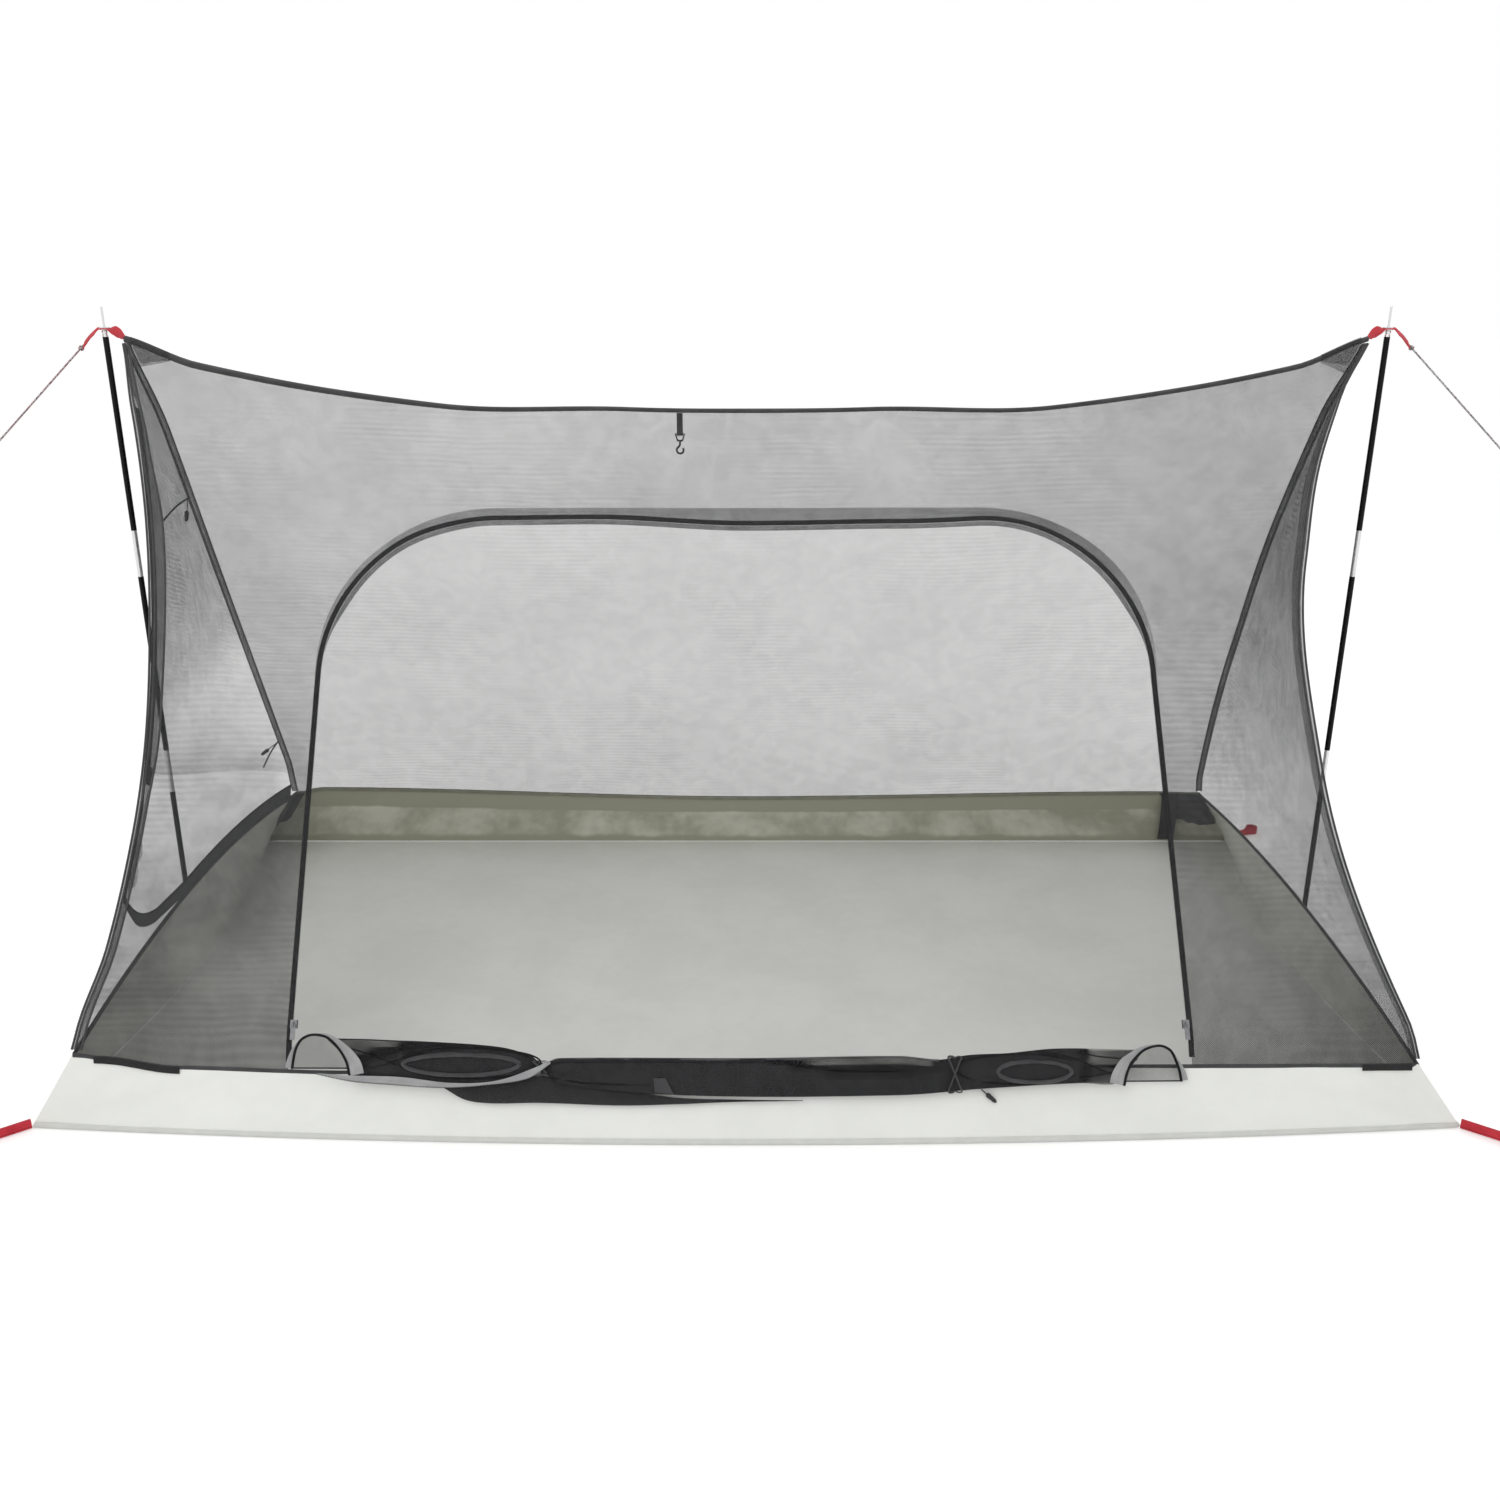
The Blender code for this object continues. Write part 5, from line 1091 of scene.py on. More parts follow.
def outerLine(t):
    # The front panel's outer edge, divided to match doorLine.
    low, high = panelShares()
    turn = door["turnShare"]
    part = min(4, int(t))
    t -= part
    if part in (0, 4):
        v = lerp(low, turn, t if part == 0 else 1 - t)
        return panelX(front, v)[0 if part == 0 else 1], v
    ends = panelX(front, high)
    if part == 2:
        return lerp(*ends, (lerp(-turn, turn, t) + 1) / 2), high
    if part == 3:
        t = 1 - t
    if t < 0.5:
        v = lerp(turn, high, 2 * t)
        return panelX(front, v)[0 if part == 1 else 1], v
    along = (lerp(-1, -turn, 2 * t - 1) + 1) / 2
    return lerp(*ends, along if part == 1 else 1 - along), high


def frontLight(place, *_):
    # Lighter towards the ridge and darker low down and on the right.
    x, z = place.x, place.z
    light = marked(panels["frontLight"], z) + mottle((x, 0, z), panels["frontMottle"])
    for amount, inX, *inZ in panels["glows"]:
        light += amount * bump(x, *inX) * math.prod(faded(z, *fade) for fade in inZ)
    for amount, inX, *inZ in panels["shades"]:
        light -= amount * faded(x, *inX) * math.prod(faded(z, *fade) for fade in inZ)
    return light + 0.025 * ripple((x, 0, 0), 0.028, 4.0) * faded(z, 0.75, 0.95)


def hangPanel(name, grid, spot, flat, finish, light, node):
    panel = gridSkin(name, *grid, spot, flat, [finish], light)
    return settle(thicken(panel, panels["thickness"]), "black_mesh", node)


def makeFrontPanel():
    low, _ = panelShares()

    def shares(along, up):
        t = 5 * along
        x, s = doorLine(t, 0.006)
        inner = (x, low if along in (0.0, 1.0) else max(low, sagged(x, s) / slopeLength(x)))
        outer = outerLine(t)
        return lerp(inner[0], outer[0], up), lerp(inner[1], outer[1], up)

    def spot(along, up):
        x, v = shares(along, up)
        calm = smooth(up / 0.15) * smooth((1 - up) / 0.1)
        return sideLifted(front, x, v, panels["frontWave"] * calm * ripple((x, 0, v), 0.13, 1.0))

    def flat(along, up):
        x, v = shares(along, up)
        return x, v * slopeLength(x)

    grid = panels["frontGrid"]
    panel = hangPanel("meshFront", grid, spot, flat, blackNet, frontLight, "mesh_front")


def backLight(place, *_):
    return marked(panels["backLight"], place.z) + mottle(place, panels["backMottle"])


def makeBackPanel():
    low, high = panelShares()

    def shares(along, up):
        v = lerp(low, high, up)
        return lerp(*panelX(back, v), along), v

    def spot(along, up):
        x, v = shares(along, up)
        wave = panels["backWave"] * inward(along, up, 0.08) * ripple((x, 0, v), 0.22, 9.0)
        return sideLifted(back, x, v, wave)

    def flat(along, up):
        x, v = shares(along, up)
        return x, v * slopeLength(x)

    grid = panels["backGrid"]
    panel = hangPanel("meshBack", grid, spot, flat, backNet, backLight, "mesh_back")


def endLight(place, *_):
    light = marked(panels["endLight"][left if place.x < 0 else right], place.z)
    return light + mottle(place, panels["endMottle"])


def makeRightPanel():
    def spot(along, up):
        v = lerp(endRimShare(right, along, 0.001), 0.985, up)
        trim = endInset(v, panels["tuck"])
        place = endPoint(right, lerp(trim, 1 - trim, along), v)
        wave = panels["endWave"] * inward(along, up, 0.1) * ripple(place, 0.16, 2.5)
        return place + Vector((wave, 0, 0))

    flat, grid = lambda a, u: (a * 1.09, u * 1.03), panels["rightGrid"]
    panel = hangPanel("meshRight", grid, spot, flat, blackNet, endLight, "mesh_right")


makeFrontPanel()
makeBackPanel()
makeRightPanel()
print("net panels hang")

# Bindings on the ridge and the corner seams, and the patches over the apexes.
binding = {
    "radius": 0.0045,
    "ridgeSteps": 120,
    "seamSteps": 60,
    "swell": (0.82, 0.45, 0.15),
    "swellLeft": (50, 0),
    "swellRight": (84, 120),
    "pleats": ((0.07, 3), (0.05, 7)),
    "seamEnds": (0.006, 0.992),
    "seamOut": 0.0044,
    "seamLift": 0.0016,
    "cordLift": 0.0018,
    "cordRadius": {front: 0.0017, back: 0.0011},
}


def foldedEdge(size):
    # A folded tape: rounder on top, with a flat fin of two layers below.
    (wide, few), (narrow, many) = binding["pleats"]

    def radius(i, angle):
        return size(i) * (1 + wide * math.cos(few * angle) + narrow * math.cos(many * angle + 0.35 * i))

    return radius


# Each corner seam is a doubled strip of net with thin cords in its edges: its
# width by height share, how much light it lets through, and where across it
# the cords lie.
seams = {
    (left, front): (
        [(0, 0.015), (0.32, 0.015), (0.45, 0.022), (0.74, 0.028), (0.86, 0.019), (1, 0.008)],
        0.34,
        (0.06, 0.38, 1.0),
    ),
    (right, front): ([(0, 0.013), (0.5, 0.018), (0.8, 0.020), (1, 0.008)], 0.40, (0.05, 0.42)),
    (left, back): ([(0, 0.012), (0.9, 0.013), (1, 0.008)], 0.16, (0.0, 1.0)),
    (right, back): ([(0, 0.012), (0.9, 0.013), (1, 0.008)], 0.10, (0.0, 1.0)),
}


def makeSeam(side, face, word):
    widths, light, cords = seams[side, face]
    rows, edges = [], [[] for _ in cords]
    for t in spread(binding["seamSteps"]):
        v = lerp(*binding["seamEnds"], t)
        wide = marked(widths, v)
        start = seamX(side, face, v) + side * (binding["seamOut"] if face == front else wide / 2)
        xs = [start - side * wide * k for k in spread(4)]
        rows.append([sideLifted(face, x, v, binding["seamLift"]) for x in xs])
        for edge, share in zip(edges, cords):
            edge.append(sideLifted(face, start - side * wide * share, v, binding["cordLift"]))
    name = f"seam{word}{sideWords[side].title()}"
    node = f"seam_{word.lower()}_{sideWords[side]}"
    settle(strip(name, rows, 0.02, 0.0010, [blackNet], light), "black_tape", node)
    radius = foldedEdge(lambda i: binding["cordRadius"][face])
    for i, edge in enumerate(edges):
        settle(tubeSkin(f"{name}Edge{i}", edge, radius, 10, [darkTape]), "black_tape", node)


def makeBindings():
    reach = tent["halfRidge"] - gap
    xs = [lerp(-reach, reach, t) for t in spread(binding["ridgeSteps"])]
    path = [Vector((x, 0.0, ridgeHeight(x))) for x in xs]
    base, atLeft, atRight = binding["swell"]

    def size(i):
        swell = base + atLeft * faded(i, *binding["swellLeft"])
        return binding["radius"] * (swell + atRight * faded(i, *binding["swellRight"]))

    ridge = tubeSkin("ridgeBinding", path, foldedEdge(size), 12, [darkTape])
    settle(ridge, "black_tape", "ridge_binding")
    for side in (left, right):
        makeSeam(side, front, "Front")
        makeSeam(side, back, "Back")


patch = {
    "length": 0.062,
    "drop": 0.034,
    "tip": 0.006,
    "fromSeam": 0.0085,
    "lift": 0.0017,
    "wrap": 0.0058,
    "wrapTurn": 32,
    "wrapShares": (0.4, 0.6),
    "thickness": 0.0008,
    "light": 0.50,
}


def makePatch(side):
    slope = slopeLength(tent["halfRidge"] - patch["length"] / 2)
    high = 1 - 1.8 * binding["radius"] / slope
    low = high - patch["drop"] / slope
    rise = math.atan2(tent["apexHeight"] - tent["wallHeight"], tent["halfRimWidth"])
    tilt = rise + math.radians(patch["wrapTurn"])
    over, down = patch["wrapShares"]

    def onSide(face, v, t):
        width = lerp(patch["tip"], patch["length"], (v - low) / (high - low))
        x = side * (abs(seamX(side, face, v)) - patch["fromSeam"] - width * t)
        return sideLifted(face, x, v, patch["lift"])

    def spot(along, up):
        if up <= over:
            return onSide(front, lerp(low, high, up / over), along)
        if up >= down:
            return onSide(back, lerp(high, low, (up - down) / (1 - down)), along)
        t = (up - over) / (down - over)
        x = lerp(onSide(front, high, along).x, onSide(back, high, along).x, t)
        angle, wrap = lerp(-tilt, tilt, t), patch["wrap"]
        return Vector((x, wrap * math.sin(angle), ridgeHeight(x) + wrap * math.cos(angle)))

    word = sideWords[side]
    flat = lambda a, u: (a * 0.085, u * 0.13)
    piece = gridSkin(f"apexPatch{word.title()}", 10, 50, spot, flat, [blackNet], patch["light"])
    settle(thicken(piece, patch["thickness"]), "black_tape", f"apex_patch_{word}")


makeBindings()
for side in (left, right):
    makePatch(side)
print("bindings and patches are sewn")


# Front door's zip: black tape and coil on the panel, and a folded hem of net.
def makeDoorZip():
    ts = [5 * t for t in spread(door["steps"])]
    start, node = door["coilOffset"], "door_zip_half"

    def crossing(t, near, far, count, lift):
        return [doorSpot(*doorLine(t, lerp(near, far, k)), lift) for k in spread(count)]

    def hemLine(t):
        sag = marked(door["sag"], doorLine(t, 0.0)[0]) if 1 < t < 4 else 0
        return crossing(t, start, start + marked(door["hemWide"], t) + sag, 3, door["hemLift"])

    def lipLine(k):
        near, wide = start - door["lipGap"], door["lipWidth"] * smooth(min(k, 1 - k) / 0.08)
        far = near - door["lipLeast"] - wide
        return crossing(lerp(*door["lipRun"], k), far, near, 2, door["lipLift"])

    tape = [crossing(t, start, start + door["tapeWidth"], 3, 0.0) for t in ts]
    tape = strip("doorZipTape", tape, door["tapeWidth"], door["tapeThickness"], [zipTape])
    settle(tape, "black_tape", node)
    light = lambda place, along, up: marked(door["hemLight"], 5 * along)
    hem = [hemLine(t) for t in ts]
    hem = strip("doorHem", hem, 0.016, door["hemThickness"], [blackNet], light)
    settle(hem, "grey_tape", node)
    lip = [lipLine(k) for k in spread(90)]
    lip = strip("doorLip", lip, door["lipWidth"], door["lipThickness"], [blackNet], door["lipLight"])
    settle(lip, "grey_tape", node)
    coil("doorCoil", [doorSpot(*doorLine(t, start)) for t in ts], door["coilRadius"], node)


makeDoorZip()
print("front door's zip runs")

# The opened door: net folded over the sill in layers and tied twice, with the
# corners of its zip standing up in two arches. Marks are places and heights.
# Ahead and behind are measured from the bundle's front.
fold = {
    "clearance": 0.0058,
    "markPlane": 0.012,
    "towardsCamera": (0.44, 0.50),
    "depth": 0.0080,
    "layers": 16,
    "uneven": 0.16,
    "pinch": (0.45, 0.018),
    "thickness": 0.0006,
    "crease": 0.30,
    "creaseWaves": [(1.0, 0.030, 2.0), (0.5, 0.014, 5.0)],
    "solid": 0.03,
    "sheer": 0.89,
    "lens": ((-0.427, 0.150), (0.1155, 0.030)),
    "ties": (-0.312, 0.316),
    "top": [
        (-0.630, 0.159), (-0.478, 0.152), (-0.373, 0.143), (-0.328, 0.129), (-0.310, 0.117),
        (-0.282, 0.123), (0.006, 0.123), (0.233, 0.1265), (0.290, 0.121), (0.339, 0.129),
        (0.395, 0.132), (0.469, 0.140), (0.600, 0.138),
    ],
    "low": [
        (-0.630, 0.154), (-0.612, 0.132), (-0.598, 0.099), (-0.525, 0.095), (-0.445, 0.088),
        (-0.374, 0.090), (-0.328, 0.099), (-0.307, 0.104), (-0.281, 0.088), (-0.085, 0.073),
        (0.233, 0.073), (0.354, 0.081), (0.505, 0.0885), (0.562, 0.088), (0.584, 0.112),
        (0.600, 0.134),
    ],
    "wedge": [(0.029, 0.122), (0.104, 0.109), (0.154, 0.105), (0.233, 0.107), (0.301, 0.108)],
    "tapeTop": [
        (-0.651, 0.102), (-0.599, 0.099), (-0.524, 0.097), (-0.445, 0.089), (-0.374, 0.093),
        (-0.296, 0.119),
    ],
    "tapeLow": [
        (-0.651, 0.101), (-0.599, 0.091), (-0.546, 0.087), (-0.452, 0.0825), (-0.374, 0.088),
        (-0.328, 0.096), (-0.296, 0.1155),
    ],
    "flapTop": [
        (-0.458, 0.0835), (-0.374, 0.089), (-0.312, 0.099), (-0.225, 0.088), (-0.145, 0.0745),
        (-0.100, 0.0695), (-0.024, 0.0675), (0.086, 0.0662),
    ],
    "flapLow": [
        (-0.458, 0.0825), (-0.426, 0.066), (-0.387, 0.061), (-0.311, 0.062), (-0.190, 0.059),
        (-0.103, 0.061), (-0.024, 0.064), (0.086, 0.0655),
    ],
    "flapDepth": 0.006,
    "flapWave": 0.0030,
    "edgeAhead": 0.0022,
    "edgeCoil": (0.0028, 0.0012),
    "ovals": [
        ((-0.431, 0.1155), (0.088, 0.0160), 0.0036, "darkTape"),
        ((-0.419, 0.1180), (0.108, 0.0235), 0.0011, "nylonCoil"),
        ((0.437, 0.1045), (0.056, 0.0150), 0.0032, "darkTape"),
        ((0.412, 0.1090), (0.094, 0.0225), 0.0009, "nylonCoil"),
    ],
    "creases": [
        [(-0.628, 0.157), (-0.560, 0.156), (-0.478, 0.150), (-0.373, 0.141), (-0.328, 0.127)],
        [(-0.598, 0.112), (-0.560, 0.127), (-0.500, 0.142), (-0.440, 0.146)],
        [(-0.596, 0.104), (-0.555, 0.112), (-0.525, 0.122), (-0.480, 0.136)],
        [(-0.618, 0.149), (-0.575, 0.134), (-0.530, 0.114)],
        [(0.440, 0.136), (0.490, 0.126), (0.530, 0.110), (0.566, 0.097)],
        [(0.500, 0.134), (0.545, 0.126), (0.592, 0.122)],
        [(0.505, 0.096), (0.535, 0.100), (0.568, 0.106)],
        [(-0.310, 0.099), (-0.260, 0.091), (-0.225, 0.088), (-0.145, 0.087)],
    ],
    "ovalBehind": 0.0016,
    "creaseBehind": 0.0010,
    "creaseRadius": 0.0009,
    "hemReach": 0.292,
    "hemRoll": (0.0008, 0.62, 0.0016),
    "hemDrop": 0.0052,
    "hemSlant": (0.016, 0.02, 0.17),
    "hemCoil": (0.96, 0.0010),
    "tabAhead": 0.0008,
    "tab": [(-0.140, 0.096), (-0.122, 0.096), (-0.109, 0.074), (-0.138, 0.077)],
}


def drawn(marks, x):
    # The height at x of a smooth line through given marks.
    i = next((i for i in range(len(marks) - 2) if x <= marks[i + 1][0]), len(marks) - 2)
    (x0, z0), (x1, z1) = marks[i], marks[i + 1]
    before, after = marks[max(0, i - 1)], marks[min(len(marks) - 1, i + 2)]
    k = min(1.0, max(0.0, (x - x0) / (x1 - x0)))
    slopes = (z1 - before[1]) / (x1 - before[0]), (after[1] - z0) / (after[0] - x0)
    bend = (slopes[0] * (1 - k) - slopes[1] * k) * k * (1 - k) * (x1 - x0)
    return lerp(z0, z1, k * k * (3 - 2 * k)) + bend


def through(marks, count):
    # Points on a smooth line through given places and heights.
    xs = [(i, mark[0]) for i, mark in enumerate(marks)]
    zs = [(i, mark[1]) for i, mark in enumerate(marks)]
    return [(drawn(xs, t * (len(marks) - 1)), drawn(zs, t * (len(marks) - 1))) for t in spread(count)]


def onWall(x, z, depth):
    # The marks hold on a plane a little outside the wall. What stands out further is
    # raised and drawn in, so that the camera sees it on the same line.
    nearer = depth + fold["clearance"] - fold["markPlane"]
    inwards, upwards = fold["towardsCamera"]
    x, z = lerp(x, view["place"][0], inwards * nearer), z + upwards * nearer
    return Vector((x, wallOutside(x, z) - fold["clearance"] - depth, z))


def foldedSpot(x, run):
    # run counts the layers outwards from the wall.
    top, low = drawn(fold["top"], x), drawn(fold["low"], x)
    turn, layer = -math.cos(math.pi * run), round(run)
    cut = 0.5 + 0.5 * ripple((x * 7, layer * 3.1, 0), 1.0, 11.0)
    reach = 1 - fold["uneven"] * cut * (1.0 if layer % 4 > 1 else 0.1)
    z = (top + low) / 2 + (top - low) / 2 * turn * reach
    share = run / fold["layers"]
    bulge = (2 * share - 1) * math.sqrt(max(0.0, 1 - (0.85 * turn) ** 2))
    (broad, *broadWave), (fine, *fineWave) = fold["creaseWaves"]
    wave = broad * ripple((x * 0.6, 0, z), *broadWave) + fine * ripple((x, 0, z), *fineWave)
    crease = fold["crease"] * faded(share, 0.55, 1.0) * wave
    tight, width = fold["pinch"]
    pinch = 1 - tight * sum(bump(x, at, width) for at in fold["ties"])
    deep = fold["depth"] * smooth((top - low) / 0.030) * pinch
    return onWall(x, z, deep * (1 + bulge + crease))


def foldLight(place, *_):
    # One or two layers only beside the arches and along the top on the right.
    x, z = place.x, place.z
    (lensX, wide), (lensZ, high) = fold["lens"]
    lens = math.hypot((x - lensX) / wide, (z - lensZ) / high)
    share = faded(x, -0.470, -0.530) * faded(lens, 0.9, 1.15) + faded(x, 0.500, 0.520)
    if x > fold["wedge"][0][0]:
        share = max(share, smooth((z - drawn(fold["wedge"], x)) / 0.003) * faded(x, 0.300, 0.280))
    sheer = fold["sheer"] + 0.05 * ripple((x * 0.4, 0, z), 0.02, 4.0)
    return lerp(fold["solid"], sheer, min(1.0, share))


def band(name, upper, lower, rows, depth, finishes, light=None, wave=0.0010):
    # A flat piece between two drawn lines, on the bundle's front.
    lines = []
    for t in spread(90):
        x = lerp(upper[0][0], upper[-1][0], t)
        heights = [lerp(drawn(upper, x), drawn(lower, x), k) for k in spread(rows)]
        lines.append([onWall(x, z, depth + wave * ripple((x, 0, z), 0.03, 3.0)) for z in heights])
    return strip(name, lines, 0.02, 0.0008, finishes, light)


def cordLine(name, line, depth, radius, finish):
    path = [onWall(x, z, depth) for x, z in line]
    return tubeSkin(name, path, lambda i, angle: radius * (1 + 0.15 * math.cos(2 * angle)), 8, [finish])


def traced(marks, start, end, count):
    # Places and heights along a drawn line, from one place to another.
    return [(x, drawn(marks, x)) for x in (lerp(start, end, t) for t in spread(count))]


# The zip's corners on the opened door, each from its sill over the top and down.
arch = {
    "steps": 48,
    "marks": {
        "Left": [
            (-0.687, 0.1085), (-0.684, 0.126), (-0.678, 0.143), (-0.667, 0.158), (-0.649, 0.1654),
            (-0.628, 0.160), (-0.612, 0.138), (-0.604, 0.117), (-0.600, 0.0987),
        ],
        "Right": [
            (0.659, 0.0904), (0.656, 0.105), (0.650, 0.121), (0.640, 0.138), (0.622, 0.1465),
            (0.601, 0.140), (0.586, 0.122), (0.577, 0.104), (0.572, 0.0847),
        ],
    },
    "foot": {"Left": 0.109, "Right": 0.0905},
    "forward": (0.3, 0.6),
    "lift": 0.0016,
    "tapeLeast": 0.0012,
    "tapeEarly": (0.009, 0.40, 0.0),
    "tapeLate": (0.021, 0.46, 0.96),
    "tapeThickness": 0.0008,
    "crumple": 0.0008,
    "zipWidth": 0.0040,
    "zipAhead": 0.0007,
    "zipThickness": 0.0006,
    "coilAhead": 0.0006,
    "coilRadius": 0.0018,
    "netDepth": 0.0030,
    "netLight": 0.62,
    "sillDepth": 0.0036,
    "sillRadius": 0.0009,
}


def makeArch(word, frontDepth):
    # Coil on the line, tape outside it, one layer of net inside.
    steps, foot, node = arch["steps"], arch["foot"][word], "door_edge_half"
    line = through(arch["marks"][word], steps)
    centreX = sum(x for x, _ in line) / len(line)
    (early, *earlyFade), (late, *lateFade) = arch["tapeEarly"], arch["tapeLate"]
    tape, teeth = [], []
    for i, (x, z) in enumerate(line):
        t = i / steps
        ahead, behind = line[min(steps, i + 1)], line[max(0, i - 1)]
        out = Vector((behind[1] - ahead[1], 0, ahead[0] - behind[0])).normalized()
        out = -out if out.x * (x - centreX) + out.z * (z - foot) < 0 else out
        width = arch["tapeLeast"] + early * faded(t, *earlyFade) + late * faded(t, *lateFade)
        start = onWall(x, z, frontDepth * faded(t, *arch["forward"]) + arch["lift"])
        crumple = lambda k: Vector((0, arch["crumple"] * ripple((x, z, k), 0.01), 0))
        tape.append([start + out * (width * k) + crumple(k) for k in spread(4)])
        start -= Vector((0, arch["zipAhead"], 0))
        teeth.append([start + out * (arch["zipWidth"] * (k - 0.5)) for k in spread(2)])
    tape = strip(f"archTape{word}", tape, late, arch["tapeThickness"], [paleTape])
    settle(tape, "grey_tape", node)
    path = [row[1] - Vector((0, arch["coilAhead"], 0)) for row in teeth]
    teeth = strip(f"archZip{word}", teeth, arch["zipWidth"], arch["zipThickness"], [zipTape])
    settle(teeth, "black_tape", node)
    coil(f"archCoil{word}", path, arch["coilRadius"], node)
    rows = []
    for x, z in line[1:-1]:
        low = min(foot, z - 0.0004)
        rows.append([onWall(x, lerp(low, z, k), arch["netDepth"]) for k in spread(6)])
    net = strip(f"archNet{word}", rows, 0.05, fold["thickness"], [blackNet], arch["netLight"])
    settle(net, "black_mesh", "door_panel_folded")
    sill = [(line[0][0], foot), (line[-1][0], foot)]
    sill = cordLine(f"archSill{word}", sill, arch["sillDepth"], arch["sillRadius"], nylonCoil)
    settle(sill, "black_tape", node)


def makeBundle():
    layers = fold["layers"]
    start, end = fold["top"][0][0], fold["top"][-1][0]
    bundle = gridSkin(
        "doorPanelFolded",
        240,
        layers * 7,
        lambda a, u: foldedSpot(lerp(start, end, a), u * layers),
        lambda a, u: (lerp(start, end, a), u * layers * 0.06),
        [bundleNet],
        foldLight,
    )
    settle(thicken(bundle, fold["thickness"], angle=70, even=False), "black_mesh", "door_panel_folded")


def makeFoldedDoor():
    face, net, edgeHalf = 2 * fold["depth"], "door_panel_folded", "door_edge_half"
    makeBundle()
    lines = fold["flapTop"], fold["flapLow"]
    flap = band("doorFlap", *lines, 5, fold["flapDepth"], [bundleNet], 0.02, fold["flapWave"])
    settle(flap, "black_mesh", net)
    for word in arch["marks"]:
        makeArch(word, face)
    lines = fold["tapeTop"], fold["tapeLow"]
    tape = band("doorEdgeTape", *lines, 3, face + fold["edgeAhead"], [paleTape])
    settle(tape, "grey_tape", edgeHalf)
    edge = traced(fold["tapeLow"], fold["tapeLow"][0][0], fold["tapeLow"][-1][0], 80)
    ahead, radius = fold["edgeCoil"]
    coil("doorEdgeCoil", [onWall(x, z, face + ahead) for x, z in edge], radius, edgeHalf)
    top = traced(fold["top"], -fold["hemReach"], fold["hemReach"], 100)
    drop, share, radius = fold["hemRoll"]
    hem = cordLine("doorHemRoll", [(x, z - drop) for x, z in top], face * share, radius, seamTape)
    settle(hem, "black_mesh", net)
    slant, *slantRun = fold["hemSlant"]
    inner = [(x, z - fold["hemDrop"] - slant * faded(x, *slantRun)) for x, z in top[:92]]
    share, radius = fold["hemCoil"]
    coil("doorHemCoil", [onWall(x, z, face * share) for x, z in inner], radius, edgeHalf)
    for i, (centre, reach, size, finish) in enumerate(fold["ovals"]):
        angles = [fullTurn * t for t in spread(64)]
        spots = [(centre[0] + reach[0] * math.cos(a), centre[1] + reach[1] * math.sin(a)) for a in angles]
        ring = [onWall(x, z, face - fold["ovalBehind"]) for x, z in spots]
        thick = lambda i, angle: size * (1 + 0.25 * math.cos(2 * angle) + 0.10 * math.cos(5 * angle + i))
        roll = tubeSkin(f"doorRoll{i}", ring, thick, 10, [bpy.data.materials[finish]], ring=True)
        settle(roll, "black_mesh", net)
    for i, marks in enumerate(fold["creases"]):
        depth = face - fold["creaseBehind"]
        crease = cordLine(f"doorCrease{i}", through(marks, 30), depth, fold["creaseRadius"], nylonCoil)
        settle(crease, "black_mesh", net)
    upLeft, upRight, lowRight, lowLeft = (Vector((x, z)) for x, z in fold["tab"])
    ends = [(upLeft.lerp(lowLeft, k), upRight.lerp(lowRight, k)) for k in spread(4)]
    rows = [[onWall(*a.lerp(b, t), face + fold["tabAhead"]) for t in spread(3)] for a, b in ends]
    settle(strip("doorTab", rows, 0.018, 0.0010, [darkTape]), "black_mesh", net)


tie = {
    "radius": 0.0014,
    "reach": 0.002,
    "slant": 0.0110,
    "depth": (0.40, 0.46),
    "lift": 0.0020,
    "over": 0.0009,
}


def makeTies():
    # Two elastics cross on the front of the bundle and meet behind it.
    face = 2 * fold["depth"]
    middle, swing = tie["depth"]
    thick = lambda i, angle: tie["radius"] * (1 + 0.3 * math.cos(2 * angle))
    for word, at in zip(("Left", "Right"), fold["ties"]):
        low, high = drawn(fold["low"], at) - tie["reach"], drawn(fold["top"], at) + tie["reach"]
        for slant, mark in ((1, "A"), (-1, "B")):
            lift = tie["lift"] + (tie["over"] if slant > 0 else 0.0)
            ring = []
            for t in spread(40):
                rise, ahead = math.sin(fullTurn * t), math.cos(fullTurn * t)
                x = at + slant * tie["slant"] * rise * smooth(ahead + 0.6)
                z = (low + high) / 2 + (high - low) / 2 * rise
                ring.append(onWall(x, z, face * (middle + swing * ahead) + lift))
            finish = paleTape if word == "Left" and slant > 0 else darkTape
            elastic = tubeSkin(f"doorTie{word}{mark}", ring, thick, 8, [finish], ring=True)
            settle(elastic, "grey_tape", f"door_tie_{word.lower()}")


makeFoldedDoor()
makeTies()
print("front door is folded")

# Left end: the door of net, its zip along the rim and up the front seam, and
# the lower part of the door gathered beside the seam.
endDoor = {
    "hemBack": 0.060,
    "hemFront": 0.375,
    "inset": 0.0150,
    "tape": 0.0075,
    "band": 0.0270,
    "narrow": 0.0045,
    "crumple": 0.0012,
    "lift": 0.021,
    "lifts": (0.56, 0.78),
    "zipStart": 0.012,
    "hookStart": 0.70,
    "hookJoin": 0.200,
    "hookCurve": 1.3,
    "zipTop": 0.900,
    "zipLow": 0.340,
    "top": 0.985,
    "tail": 0.015,
}
gather = {
    "high": 0.350,
    "low": 0.205,
    "steps": 44,
    "radius": 0.0072,
    "slim": 0.42,
    "lumps": (0.62, 0.90),
    "lumpSize": (0.75, 0.11),
    "turns": 18,
    "light": 0.970,
    "thickness": 0.0003,
    "flatWidth": 0.50,
}


def circleThrough(a, b, c):
    ab, ac = b - a, c - a
    axis = ab.cross(ac)
    reach = axis.cross(ab) * ac.length_squared + ac.cross(axis) * ab.length_squared
    centre = a + reach / (2 * axis.length_squared)
    return centre, axis.normalized()


